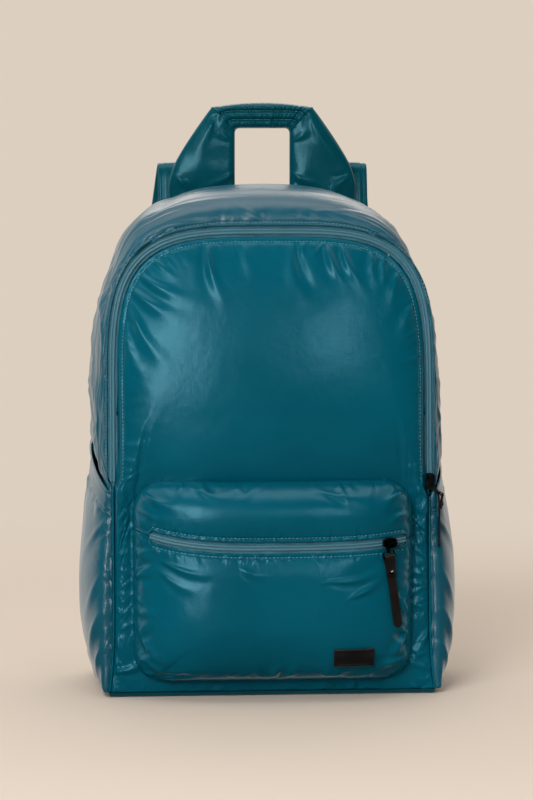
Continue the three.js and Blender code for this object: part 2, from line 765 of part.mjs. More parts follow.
// Shares across the pocket, closer together at its edges.
const POCKET_COLUMNS = 22;
const POCKET_SHARES = Array.from({ length: POCKET_COLUMNS + 1 }, (_, i) => {
  const even = (2 * i) / POCKET_COLUMNS - 1;
  return Math.sign(even) * (1 - (1 - Math.abs(even)) ** 1.8);
});
const POCKET_TAPE_SHARES = POCKET_SHARES.slice(2, -2);

// Half the room between the pocket's two panels: the zip's width, closing at both ends.
function pocketZipHalfRoom(share) {
  const open = smoothstep(-Math.abs(share), POCKET_SHARES[1], POCKET_SHARES[2]);
  return lerp(SEAM_GAP / 2, ZIP_HALF_WIDTH, open);
}

function pocketPanel(name, zipRow, heightAt) {
  const rowsUp = POCKET_ROWS;
  const outer = Array.from({ length: rowsUp + 1 }, (_, i) =>
    POCKET_SHARES.map((share) => pocketPoint(share, heightAt(share, i / rowsUp))),
  );
  const middle = new THREE.Vector3(0, FRONT_SEAM_Y, POCKET_MIDDLE_Z);
  const outwards = (point) => point.clone().sub(middle);
  const normals = gridNormals(outer, outwards);
  normals[zipRow].forEach((normal) => normal.set(0, -1, 0));
  const inner = offsetGrid(outer, normals, -POCKET_WALL);
  inner.flat().forEach((point) => {
    point.y = Math.min(point.y, frontFaceY(point.x, point.z) - CLEARANCE);
  });
  addPiece(name, wallBetween(outer, inner), "nylon");
}

const POCKET_ROWS = 7;

function frontPocket() {
  pocketPanel("pocket_lower_panel", POCKET_ROWS, (share, up) => {
    const top = pocketZipHeight(share) - pocketZipHalfRoom(share);
    return lerp(POCKET_FOOT, top, 1 - (1 - up) ** 0.6);
  });
  pocketPanel("pocket_upper_panel", 0, (share, up) => {
    const foot = pocketZipHeight(share) + pocketZipHalfRoom(share);
    return lerp(foot, POCKET_TOP, 1 - (1 - up) ** 1.7);
  });
}

// A strip along the pocket's zip, with the same kind of section as the main zip.
function alongPocketZip(section) {
  const loops = POCKET_TAPE_SHARES.map((share) =>
    section.map(({ across, out }) => {
      const point = pocketPoint(share, pocketZipHeight(share) + across);
      const edge = POCKET_TAPE_SHARES.at(-1);
      point.y += ZIP_RECESS + TAPE_THICKNESS - out;
      point.y += ZIP_RECESS * (Math.abs(share) / edge) ** 8;
      return point;
    }),
  );
  return loftThrough(loops);
}

function pocketZip() {
  addPiece("pocket_zip_tape", alongPocketZip(tapeSection()), "tape");
  addPiece("pocket_zip_coil", alongPocketZip(coilSection()), "coil");
}

// A bare rectangle of leather on the pocket, following its face.
function labelPatch() {
  const columns = [-1, -0.5, 0, 0.5, 1];
  const rows = [-1, 0, 1];
  const faceAt = (lift) =>
    rows.map((row) =>
      columns.map((column) => {
        const z = LABEL_Z + (row * LABEL_HEIGHT) / 2;
        const x = LABEL_X + (column * LABEL_WIDTH) / 2;
        const point = pocketPoint(x / pocketHalfWidthAt(z), z);
        point.y -= lift;
        return point;
      }),
    );
  const geometry = wallBetween(faceAt(CLEARANCE + LABEL_THICKNESS), faceAt(CLEARANCE));
  addPiece("label_patch", geometry, "leather");
}

// The side pockets

// A place on the side wall at a height, on one side of the body.
function placeAtHeight(side, z, depthShare) {
  let [low, high] = [0, 0.4];
  for (let i = 0; i < 30; i++) {
    const middle = (low + high) / 2;
    if (sideWallPoint(middle, depthShare, false).z < z) low = middle;
    else high = middle;
  }
  return side === LEFT ? low : 1 - low;
}

function sideWallNormal(place, depthShare) {
  const step = 0.004;
  const [low, high] = [clamp(place - step, 0, 1), clamp(place + step, 0, 1)];
  const along = sideWallPoint(high, depthShare, false).sub(sideWallPoint(low, depthShare, false));
  const [front, back] = [clamp(depthShare - step, 0, 1), clamp(depthShare + step, 0, 1)];
  const across = sideWallPoint(place, back, false).sub(sideWallPoint(place, front, false));
  const normal = along.cross(across).normalize();
  return normal.x * (place - 0.5) < 0 ? normal.negate() : normal;
}

const SIDE_POCKET_ROWS = 10;

function sidePocketGap(up, across) {
  const middle = Math.sin(Math.PI * across) ** 0.8;
  const fromFoot = 1 - (1 - clamp(up / 0.4, 0, 1)) ** 3;
  const full = lerp(SIDE_POCKET_SLACK, SIDE_POCKET_MOUTH, smoothstep(up, 0.4, 1));
  return 1.5 * CLEARANCE + full * fromFoot * middle;
}

function sidePocketFace(side, lift) {
  const columns = DEPTH_SEGMENTS - 2;
  return Array.from({ length: SIDE_POCKET_ROWS + 1 }, (_, r) =>
    Array.from({ length: columns + 1 }, (_, c) => {
      const [up, across] = [r / SIDE_POCKET_ROWS, c / columns];
      const depthShare = (c + 1) / DEPTH_SEGMENTS;
      const hem = lerp(HEM_FRONT_HEIGHT, HEM_BACK_HEIGHT, across);
      const z = lerp(WALL_FOOT + CLEARANCE, hem, up);
      const place = placeAtHeight(side, z, depthShare);
      const normal = sideWallNormal(place, depthShare).setZ(0).normalize();
      const point = sideWallPoint(place, depthShare, false).setZ(z);
      const start = point.clone().setX(2 * side * BODY_HALF_WIDTH);
      point.x = firstHit(wall, start, new THREE.Vector3(-side, 0, 0)).x;
      return point.addScaledVector(normal, sidePocketGap(up, across) + lift);
    }),
  );
}

function sidePocket(name, side) {
  const geometry = wallBetween(sidePocketFace(side, SIDE_POCKET_WALL), sidePocketFace(side, 0));
  addPiece(name, geometry, "nylon");
}

// The handle

const HANDLE_FOOT_Y = BACK_SEAM_Y + BACK_PAD + CLEARANCE;

// The back seam's height at a distance from the middle.
function backSeamHeight(x) {
  const across = clamp(Math.abs(x) / BACK_HALF_WIDTH, 0, 1);
  const up = (1 - across ** BACK.power) ** (1 / BACK.power);
  return BACK.spring + BACK_ARCH_RISE * up;
}

// A padded section: points round a band's width, with round edges.
const BAND_SECTION = [
  { across: -1, thick: 0.3 },
  { across: -0.75, thick: 0.85 },
  { across: 0, thick: 1 },
  { across: 0.75, thick: 0.85 },
  { across: 1, thick: 0.3 },
];

// A closed loop round a band between two edge points, swelling both ways along the normal.
function bandLoop(from, to, normal, thickness) {
  const face = (sign) =>
    BAND_SECTION.map(({ across, thick }) =>
      from
        .clone()
        .lerp(to, (across + 1) / 2)
        .addScaledVector(normal, (sign * thick * thickness) / 2),
    );
  return [...face(1), ...face(-1).reverse()];
}

const BACKWARDS = new THREE.Vector3(0, 1, 0);
const HANDLE_CORNER_TOP = HANDLE_TOP - GRIP_ARCH;

function handleWing(name, side) {
  const footAt = (x) => backSeamHeight(x) - HANDLE_FOOT_DROP;
  const loops = WING_ROWS.map(({ rise, spread, thickness }) => {
    const outerX = lerp(HANDLE_CORNER_HALF_WIDTH, HANDLE_FOOT_HALF_WIDTH, spread);
    const innerX = HANDLE_WINDOW_HALF_WIDTH;
    const innerTop = HANDLE_CORNER_TOP - GRIP_HEIGHT;
    const outerZ = lerp(footAt(HANDLE_FOOT_HALF_WIDTH), HANDLE_CORNER_TOP, rise);
    const innerZ = lerp(footAt(HANDLE_WINDOW_HALF_WIDTH), innerTop, rise);
    const full = lerp(HANDLE_FOOT_THICKNESS, HANDLE_WING_THICKNESS, thickness);
    const y = HANDLE_FOOT_Y + HANDLE_FOOT_THICKNESS / 2;
    const outer = new THREE.Vector3(side * outerX, y, outerZ);
    const inner = new THREE.Vector3(side * innerX, y, innerZ);
    return bandLoop(outer, inner, BACKWARDS, full);
  });
  addPiece(name, loftThrough(loops), "nylon");
}

// The grip's section: three rolls one above the other, as shares of its height and thickness.
const GRIP_SECTION = [
  { up: 0, out: 0.3 },
  { up: 0.12, out: 0.85 },
  { up: 0.24, out: 0.8 },
  { up: 0.33, out: 0.62 },
  { up: 0.42, out: 1 },
  { up: 0.58, out: 1 },
  { up: 0.67, out: 0.62 },
  { up: 0.76, out: 0.8 },
  { up: 0.88, out: 0.85 },
  { up: 1, out: 0.3 },
];

// The last row of the wings stops short of the fold's line, and the grip's ends run along it.
function handleGrip() {
  const lastRow = WING_ROWS.at(-1);
  const centreY = HANDLE_FOOT_Y + HANDLE_FOOT_THICKNESS / 2;
  const sideEnd = (up) => {
    const cornerX = lerp(HANDLE_CORNER_HALF_WIDTH, HANDLE_FOOT_HALF_WIDTH, lastRow.spread);
    return lerp(HANDLE_WINDOW_HALF_WIDTH, cornerX, up);
  };
  const innerZ = lerp(
    backSeamHeight(HANDLE_WINDOW_HALF_WIDTH) - HANDLE_FOOT_DROP,
    HANDLE_CORNER_TOP - GRIP_HEIGHT,
    lastRow.rise,
  );
  const outerZ = lerp(
    backSeamHeight(HANDLE_FOOT_HALF_WIDTH) - HANDLE_FOOT_DROP,
    HANDLE_CORNER_TOP,
    lastRow.rise,
  );
  const lift = CLEARANCE / Math.cos(Math.atan2(outerZ - innerZ, GRIP_HEIGHT));
  const shares = [-1, -0.75, -0.5, -0.25, 0, 0.25, 0.5, 0.75, 1];
  const loops = shares.map((share) => {
    const pointAt = ({ up, out }, sign) => {
      const endZ = lerp(innerZ, outerZ, up) + lift;
      const middleZ = HANDLE_TOP - GRIP_HEIGHT * (1 - up);
      const z = lerp(middleZ, endZ, share ** 4);
      const y = centreY + (sign * out * GRIP_THICKNESS) / 2;
      return new THREE.Vector3(share * sideEnd(up), y, z);
    };
    const face = (sign) => GRIP_SECTION.map((row) => pointAt(row, sign));
    return [...face(-1), ...face(1).reverse()];
  });
  addPiece("handle_grip", loftThrough(loops), "nylon");
}

// The shoulder straps

const STRAP_FOOT_Y = HANDLE_FOOT_Y + HANDLE_FOOT_THICKNESS + CLEARANCE;

function strapPath(side) {
  const y = STRAP_FOOT_Y + STRAP_FOOT_THICKNESS / 2;
  return new THREE.CatmullRomCurve3(
    STRAP_ROWS.map(({ height, outwards, bow }) => {
      const x = side * lerp(STRAP_TOP_X, STRAP_END_X, outwards);
      return new THREE.Vector3(x, y + bow * STRAP_BOW, lerp(STRAP_END_HEIGHT, STRAP_LOOP_TOP, height));
    }),
    false,
    "centripetal",
  );
}

// The sideways direction of a band that runs along a tangent, and the way its face looks.
function bandFrame(tangent) {
  const sideways = new THREE.Vector3(1, 0, 0);
  sideways.addScaledVector(tangent, -sideways.dot(tangent)).normalize();
  return { sideways, face: new THREE.Vector3().crossVectors(sideways, tangent).normalize() };
}

function bandAlong(curve, steps, widthAt, thicknessAt) {
  return Array.from({ length: steps + 1 }, (_, i) => {
    const t = i / steps;
    const middle = curve.getPoint(t);
    const { sideways, face } = bandFrame(curve.getTangent(t));
    const from = middle.clone().addScaledVector(sideways, -widthAt(t) / 2);
    const to = middle.clone().addScaledVector(sideways, widthAt(t) / 2);
    return bandLoop(from, to, face, thicknessAt(t));
  });
}

function shoulderStrap(name, side) {
  const rowAt = (t) => {
    const place = t * (STRAP_ROWS.length - 1);
    const row = Math.min(Math.floor(place), STRAP_ROWS.length - 2);
    return lerp(STRAP_ROWS[row].padding, STRAP_ROWS[row + 1].padding, place - row);
  };
  const widthAt = (t) => STRAP_WIDTH * lerp(1, 0.72, smoothstep(t, 0.8, 1));
  const thicknessAt = (t) => lerp(STRAP_FOOT_THICKNESS, STRAP_THICKNESS, rowAt(t));
  addPiece(name, loftThrough(bandAlong(strapPath(side), 20, widthAt, thicknessAt)), "nylon");
}

// The webbing's way: from behind the strap's end down to the back's lower corner.
function webbingPath(side) {
  const path = strapPath(side);
  const end = path.getPoint(1);
  const tangent = path.getTangent(1);
  const { face } = bandFrame(tangent);
  const gap = (STRAP_THICKNESS + WEBBING_THICKNESS) / 2 + CLEARANCE;
  const behind = face.y > 0 ? gap : -gap;
  const top = end.clone().addScaledVector(tangent, -WEBBING_LAP).addScaledVector(face, behind);
  const edge = end.clone().addScaledVector(face, behind);
  const anchorY = BACK_SEAM_Y + BACK_PAD + CLEARANCE + ANCHOR_THICKNESS;
  const foot = new THREE.Vector3(
    side * ANCHOR_X,
    anchorY + CLEARANCE + WEBBING_THICKNESS / 2,
    ANCHOR_HEIGHT,
  );
  const above = new THREE.Vector3(
    side * lerp(ANCHOR_X, Math.abs(edge.x), 0.2),
    foot.y + 2,
    ANCHOR_HEIGHT + ANCHOR_SIZE * 0.7,
  );
  return new THREE.CatmullRomCurve3([top, edge, above, foot], false, "centripetal");
}

const ANCHOR_THICKNESS = 3;

function strapWebbing(name, side) {
  const loops = bandAlong(
    webbingPath(side),
    12,
    () => WEBBING_WIDTH,
    () => WEBBING_THICKNESS,
  );
  addPiece(name, loftThrough(loops), "lining");
}

// A plain three-bar adjuster round the webbing, below the padded strap's end.
function strapAdjuster(name, side) {
  const inner = WEBBING_WIDTH / 2 + 2 * CLEARANCE;
  const slot = (ADJUSTER_HEIGHT - 3 * ADJUSTER_BAR) / 2;
  let solid = solidOf(placedBox(ADJUSTER_WIDTH, ADJUSTER_THICKNESS, ADJUSTER_HEIGHT, 0, 0, 0));
  for (const sign of [1, -1]) {
    const z = (sign * (ADJUSTER_BAR + slot)) / 2;
    solid = solid.subtract(
      solidOf(placedBox(2 * inner, 2 * ADJUSTER_THICKNESS, slot, 0, 0, z)),
    );
  }
  const path = webbingPath(side);
  const at = path.getPoint(0.42);
  const tangent = path.getTangent(0.42);
  const { sideways, face } = bandFrame(tangent);
  const outwards = face.y > 0 ? 1 : -1;
  const lift = (ADJUSTER_THICKNESS + WEBBING_THICKNESS) / 2 + CLEARANCE;
  const mesh = addPiece(name, geometryOf(solid), "plastic");
  const up = tangent.clone().negate();
  const depth = new THREE.Vector3().crossVectors(up, sideways);
  mesh.setRotationFromMatrix(new THREE.Matrix4().makeBasis(sideways, depth, up));
  mesh.position.copy(at).addScaledVector(face, outwards * lift);
}

// A folded tab of cloth at each lower corner of the back, which holds the webbing.
function strapAnchor(name, side) {
  const y = BACK_SEAM_Y + BACK_PAD + CLEARANCE;
  const half = ANCHOR_SIZE / 2;
  const shape = new THREE.Shape()
    .moveTo(-half, 0)
    .lineTo(half, 0)
    .lineTo(WEBBING_WIDTH / 2, ANCHOR_SIZE)
    .lineTo(-WEBBING_WIDTH / 2, ANCHOR_SIZE)
    .closePath();
  const geometry = new THREE.ExtrudeGeometry(shape, { depth: ANCHOR_THICKNESS, bevelEnabled: false });
  const mesh = addPiece(name, geometry, "nylon");
  mesh.rotation.x = Math.PI / 2;
  mesh.position.set(side * ANCHOR_X, y + ANCHOR_THICKNESS, ANCHOR_HEIGHT - half * 0.6);
}

// Sliders and pullers

// A slider with its lug: length along X, its back on the coil, its lug standing out towards -Y.
function sliderGeometry() {
  const plate = new THREE.Shape();
  const [half, wide] = [SLIDER_LENGTH / 2, SLIDER_WIDTH / 2];
  plate.moveTo(-half, -wide * 0.6);
  plate.lineTo(-half * 0.4, -wide);
  plate.lineTo(half * 0.7, -wide);
  plate.quadraticCurveTo(half, -wide, half, 0);
  plate.quadraticCurveTo(half, wide, half * 0.7, wide);
  plate.lineTo(-half * 0.4, wide);
  plate.lineTo(-half, wide * 0.6);
  const body = new THREE.ExtrudeGeometry(plate, {
    depth: SLIDER_THICKNESS,
    bevelEnabled: false,
    curveSegments: 4,
  }).rotateX(Math.PI / 2);
  const lug = placedBox(LUG_LENGTH, LUG_HEIGHT, LUG_WIDTH, 0, -LUG_HEIGHT / 2, 0);
  const hole = placedBox(
    LUG_LENGTH - 2 * LUG_BAR,
    LUG_HEIGHT - LUG_BAR,
    2 * LUG_WIDTH,
    0,
    -(LUG_HEIGHT - LUG_BAR) / 2,
    0,
  );
  const arch = solidOf(lug).subtract(solidOf(hole));
  const seated = solidOf(geometryOf(arch).translate(0, 0.2 - SLIDER_THICKNESS, 0));
  return geometryOf(solidOf(body).add(seated));
}

// The link, hanging down -Z from its eye, which rings a foot of the lug. Its lower end is a frame
// with a bar for the leather, turned about the link's length by the twist.
function linkGeometry(twist) {
  const half = LEATHER_WIDTH / 2 + CLEARANCE + LINK_THICKNESS;
  const frameTop = LINK_LENGTH - LINK_SLOT - LINK_THICKNESS / 2;
  const eye = new THREE.Shape().absarc(0, 0, LINK_EYE_RADIUS, 0, 2 * Math.PI, false);
  eye.holes.push(new THREE.Path().absarc(0, 0, LINK_EYE_HOLE, 0, 2 * Math.PI, true));
  const options = { depth: LINK_THICKNESS, bevelEnabled: false, curveSegments: 6 };
  const ring = new THREE.ExtrudeGeometry(eye, options)
    .translate(0, 0, -LINK_THICKNESS / 2)
    .rotateX(Math.PI / 2);
  const neckTop = LINK_EYE_HOLE + 0.4;
  const neckLength = frameTop + LINK_THICKNESS - neckTop;
  const neck = placedBox(3, LINK_THICKNESS, neckLength, 0, 0, -neckTop - neckLength / 2);
  const frameHeight = LINK_LENGTH + LINK_THICKNESS / 2 - frameTop;
  const frame = placedBox(2 * half, LINK_THICKNESS, frameHeight, 0, 0, -frameTop - frameHeight / 2);
  const slotWidth = 2 * (half - LINK_THICKNESS);
  const slotZ = -LINK_LENGTH + (LINK_THICKNESS + LINK_SLOT) / 2;
  const slotHeight = LINK_SLOT - LINK_THICKNESS / 2;
  const slot = placedBox(slotWidth, 2 * LINK_THICKNESS, slotHeight, 0, 0, slotZ);
  const turned = solidOf(frame.rotateZ(twist)).subtract(solidOf(slot.rotateZ(twist)));
  return geometryOf(solidOf(ring).add(solidOf(neck)).add(turned));
}

// The leather: one strip folded over the link's bar, its short end lying on the front. The bar is the
// origin, the strip hangs down -Z and its front looks to -Y.
function tabGeometry(length) {
  const inside = LINK_THICKNESS * Math.SQRT1_2 + CLEARANCE;
  const outside = inside + LEATHER_THICKNESS;
  const flap = length * TAB_FLAP_SHARE;
  const closing = 3 * outside;
  const tip = LEATHER_THICKNESS * 0.4;
  const strip = new THREE.Shape();
  strip.moveTo(-outside, 0);
  strip.lineTo(-LEATHER_THICKNESS, -closing);
  for (let along = closing; along < length - TAB_STEP; along += TAB_STEP) {
    strip.lineTo(-LEATHER_THICKNESS, -along);
  }
  strip.lineTo(-LEATHER_THICKNESS, -length);
  strip.lineTo(0, -length);
  for (let along = length - TAB_STEP; along > flap + TAB_STEP; along -= TAB_STEP) {
    strip.lineTo(0, -along);
  }
  strip.lineTo(0, -flap);
  strip.lineTo(tip, -flap);
  strip.lineTo(LEATHER_THICKNESS, -flap + tip);
  strip.lineTo(LEATHER_THICKNESS, -closing);
  strip.lineTo(outside, 0);
  strip.absarc(0, 0, outside, 0, Math.PI, false);
  const hole = new THREE.Path();
  hole.absarc(0, 0, inside, 0, Math.PI, false);
  hole.lineTo(0, -closing + outside);
  strip.holes.push(hole);
  return new THREE.ExtrudeGeometry(strip, {
    depth: LEATHER_WIDTH,
    bevelEnabled: false,
    curveSegments: 6,
  })
    .translate(0, 0, -LEATHER_WIDTH / 2)
    .rotateX(Math.PI / 2)
    .rotateZ(-Math.PI / 2);
}

function rivetGeometry() {
  const profile = [
    new THREE.Vector2(0, 0),
    new THREE.Vector2(RIVET_RADIUS, 0),
    new THREE.Vector2(RIVET_RADIUS, RIVET_HEIGHT * 0.4),
    new THREE.Vector2(RIVET_RADIUS * 0.7, RIVET_HEIGHT),
    new THREE.Vector2(0, RIVET_HEIGHT),
  ];
  return new THREE.LatheGeometry(profile, 12).rotateX(Math.PI);
}

// A zip's slider on its coil, with the link and the leather that hang from it. The whole is turned by
// yaw to lie on the coil. The slider's end with the link points along the zip by its turn; the link
// leans sideways by hang and the leather by lean. Both are swung out until they are clear of the face
// behind them, and the link's eye rises in its lug as it swings.
function addPuller(prefix, { at, yaw, turn, hang, twist, lean, length, faceY }) {
  const whole = new THREE.Group();
  whole.position.copy(at);
  whole.rotation.z = yaw;
  backpack.add(whole);
  const slider = addPiece(`${prefix}_slider`, sliderGeometry(), "metal", whole);
  slider.rotation.y = turn;
  const eye = new THREE.Vector3(-LUG_LENGTH / 2 + LUG_BAR / 2, 0, 0);
  eye.applyAxisAngle(new THREE.Vector3(0, 1, 0), turn);
  eye.y -= SLIDER_THICKNESS + CLEARANCE + LINK_THICKNESS / 2;
  const touches = (piece) => {
    const corners = piece.geometry.attributes.position;
    const corner = new THREE.Vector3();
    whole.updateMatrixWorld(true);
    for (let i = 0; i < corners.count; i++) {
      corner.fromBufferAttribute(corners, i).applyMatrix4(piece.matrixWorld);
      if (corner.y > faceY(corner.x, corner.z) - CLEARANCE) return true;
    }
    return false;
  };
  const link = addPiece(`${prefix}_link`, linkGeometry(twist), "metal", whole);
  link.position.copy(eye);
  link.rotation.set(0, -hang, 0, "YXZ");
  while (touches(link) && link.rotation.x > -LINK_MOST_PITCH) {
    link.rotation.x -= PITCH_STEP;
    link.position.y = eye.y + LINK_EYE_RADIUS * Math.sin(link.rotation.x);
  }
  const tab = new THREE.Group();
  tab.position.set(0, 0, -LINK_LENGTH).applyEuler(link.rotation).add(link.position);
  tab.rotation.set(0, -lean, twist, "ZYX");
  whole.add(tab);
  const leather = addPiece(`${prefix}_puller`, tabGeometry(length), "leather", tab);
  while (touches(leather) && tab.rotation.x > -TAB_MOST_PITCH) tab.rotation.x -= PITCH_STEP;
  const rivet = addPiece(`${prefix}_rivet`, rivetGeometry(), "metal", tab);
  rivet.position.y = -LEATHER_THICKNESS - CLEARANCE;
  rivet.position.z = -length * TAB_FLAP_SHARE + 2 * RIVET_RADIUS;
}

function pullers() {
  const lift = ZIP_RECESS - CLEARANCE - COIL_HEIGHT - CLEARANCE;
  const pocketZipPoint = (x) => {
    const share = x / POCKET_HALF_WIDTH;
    return pocketPoint(share, pocketZipHeight(share));
  };
  const half = SLIDER_LENGTH / 2;
  const [left, right] = [-half, half].map((x) => pocketZipPoint(POCKET_SLIDER_X + x));
  const onPocket = left.clone().lerp(right, 0.5);
  addPuller("pocket", {
    at: onPocket.setY(onPocket.y + lift),
    yaw: Math.atan2(right.y - left.y, right.x - left.x),
    turn: 0,
    hang: POCKET_TAB_LEAN,
    twist: 0,
    lean: POCKET_TAB_LEAN,
    length: POCKET_TAB_LENGTH,
    faceY: (x, z) => pocketPoint(clamp(x / pocketHalfWidthAt(z), -1, 1), z).y,
  });
  const onSide = frontSeamPoint(1 - ZIP_START_PLACE, 0);
  onSide.z += LUG_LENGTH / 3;
  addPuller("main", {
    at: onSide.setY(frontSeamY(onSide.z) + lift),
    yaw: 0,
    turn: -Math.PI / 2,
    hang: MAIN_LINK_LEAN,
    twist: Math.PI / 2,
    lean: 0,
    length: MAIN_TAB_LENGTH,
    faceY: (x, z) => {
      const start = new THREE.Vector3(x, -BASE_DEPTH, z);
      return firstHit(wall, start, new THREE.Vector3(0, 1, 0))?.y ?? BASE_DEPTH;
    },
  });
}

// What is built

const wall = sideWall();
const front = frontPanel();
backPanel();
basePanel();
mainZip();
frontPocket();
pocketZip();
labelPatch();
pullers();
sidePocket("side_pocket_left", LEFT);
sidePocket("side_pocket_right", RIGHT);
handleWing("handle_wing_left", LEFT);
handleWing("handle_wing_right", RIGHT);
handleGrip();
shoulderStrap("shoulder_strap_left", LEFT);
shoulderStrap("shoulder_strap_right", RIGHT);
strapWebbing("strap_webbing_left", LEFT);
strapWebbing("strap_webbing_right", RIGHT);
strapAdjuster("strap_adjuster_left", LEFT);
strapAdjuster("strap_adjuster_right", RIGHT);
strapAnchor("strap_anchor_left", LEFT);
strapAnchor("strap_anchor_right", RIGHT);

export default backpack;
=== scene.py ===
"""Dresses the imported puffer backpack: glossy padded cloth with its gathers, zips, stitches and leather.
The part's own frame: metres, +Z up, the front towards -Y, the origin in the middle of the base."""

import math

import bpy
import numpy as np
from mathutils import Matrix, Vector


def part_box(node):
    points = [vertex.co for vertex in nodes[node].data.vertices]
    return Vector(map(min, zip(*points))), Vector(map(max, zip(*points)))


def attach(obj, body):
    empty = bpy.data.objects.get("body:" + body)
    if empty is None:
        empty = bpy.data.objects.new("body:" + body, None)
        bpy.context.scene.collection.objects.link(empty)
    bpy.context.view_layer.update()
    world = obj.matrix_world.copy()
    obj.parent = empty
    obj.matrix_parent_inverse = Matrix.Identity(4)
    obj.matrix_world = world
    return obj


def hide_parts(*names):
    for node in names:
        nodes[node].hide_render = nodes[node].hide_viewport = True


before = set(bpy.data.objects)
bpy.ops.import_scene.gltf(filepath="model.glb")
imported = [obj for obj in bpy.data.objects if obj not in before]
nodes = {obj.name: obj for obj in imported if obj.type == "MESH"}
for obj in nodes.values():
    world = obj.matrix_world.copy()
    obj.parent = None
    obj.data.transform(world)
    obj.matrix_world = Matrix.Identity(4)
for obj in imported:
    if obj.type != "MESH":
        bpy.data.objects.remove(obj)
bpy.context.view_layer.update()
MM = 0.001

# The body's named sizes, as in the solids, in millimetres. An arch is its rise and its power
BASE_DEPTH = 140
TOP_LEAN = 28
BASE_HALF_WIDTH = 145
BASE_THICKNESS = 4
BASE_EDGE_ROUND = 3
BODY_HALF_WIDTH = 155
BODY_HEIGHT = 438
CREST_ARCH = {-1: (194, 2.95), 1: (230, 2.9)}
FRONT_HALF_WIDTH = 137.5
FRONT_HEIGHT = 401
FRONT_ARCH = (146, 3.8)
BACK_HALF_WIDTH = 141
BACK_HEIGHT = 424
BACK_ARCH = (182, 2.8)
FLARE_HEIGHT = 62
NIP_DEPTH = 8
SIDE_WALL_POWER = 2.4
BACK_PAD = 3
FRONT_PUFF = 25
FRONT_PUFF_BEHIND_POCKET = 9
SEAM_GAP = 0.6
SEAM_BINDING = 1.2
CLEARANCE = 0.4
ZIP_HALF_WIDTH = 5
ZIP_END_HEIGHT = 182
ZIP_RECESS = 1.2
COIL_HEIGHT = 1.5
POCKET_HALF_WIDTH = 121
POCKET_FOOT = 14
POCKET_TOP = 188
POCKET_DEPTH = 34
POCKET_CORNER = 26
POCKET_POWER = 4.5
POCKET_ZIP_HEIGHT = 133
POCKET_ZIP_RISE_LEFT = 14
POCKET_ZIP_RISE_RIGHT = 5
SIDE_POCKET_WALL = 2.5
SIDE_POCKET_SLACK = 14
SIDE_POCKET_MOUTH = 7
HEM_FRONT_HEIGHT = 177
HEM_BACK_HEIGHT = 222
FRONT_SEAM_Y = -BASE_DEPTH / 2
BACK_SEAM_Y = BASE_DEPTH / 2
WALL_FOOT = BASE_THICKNESS + CLEARANCE

# The cloth's own sizes, in millimetres
PANEL_THICKNESS = 1.2
SIDE_POCKET_THICKNESS = 1.4
BACK_THICKNESS = 1.5
STITCH_PLACE = 3.4
STITCH_SPACING = 3.3

FRONTWARDS = np.array([0, -1, 0])
BACKWARDS = np.array([0, 1, 0])
SIDES = {"left": -1, "right": 1}


# Small maths


def lerp(a, b, t):
    return a + (b - a) * t


def smoothstep(x, low, high):
    t = np.clip((x - low) / (high - low), 0, 1)
    return t * t * (3 - 2 * t)


def smooth_columns(table, steps):
    """Rows of a table, resampled smoothly."""
    places = np.linspace(0, len(table) - 1, steps)
    low = np.clip(np.floor(places).astype(int), 0, len(table) - 2)
    t = (places - low)[:, None]
    before = table[np.clip(low - 1, 0, None)]
    start, end = table[low], table[low + 1]
    after = table[np.clip(low + 2, None, len(table) - 1)]
    return 0.5 * (
        2 * start
        + (end - before) * t
        + (2 * before - 5 * start + 4 * end - after) * t**2
        + (3 * start - 3 * end + after - before) * t**3
    )


def unit(vectors):
    return vectors / np.linalg.norm(vectors, axis=-1, keepdims=True)


def rounded(values, power):
    """Each value with its sign kept and its size raised to a power, for rounded sections."""
    return np.sign(values) * np.abs(values) ** power


def circle(count):
    return np.linspace(0, 2 * math.pi, count, endpoint=False)


def run_along(path):
    """How far along a path each of its points lies."""
    return np.concatenate([[0], np.cumsum(np.linalg.norm(np.diff(path, axis=0), axis=-1))])


def bump_at(x, centre, width):
    return np.exp(-(((x - centre) / width) ** 2))


def waves(rng, points, wavelength, count=14):
    """Smooth seeded noise of about one unit over any points."""
    points = np.asarray(points, float)
    total = np.zeros(points.shape[:-1])
    for _ in range(count):
        direction = rng.normal(size=points.shape[-1])
        direction *= 2 * math.pi / (wavelength * rng.uniform(0.7, 1.6) * np.linalg.norm(direction))
        total += np.sin(points @ direction + rng.uniform(0, 2 * math.pi))
    return total / math.sqrt(count / 2)


# Outlines


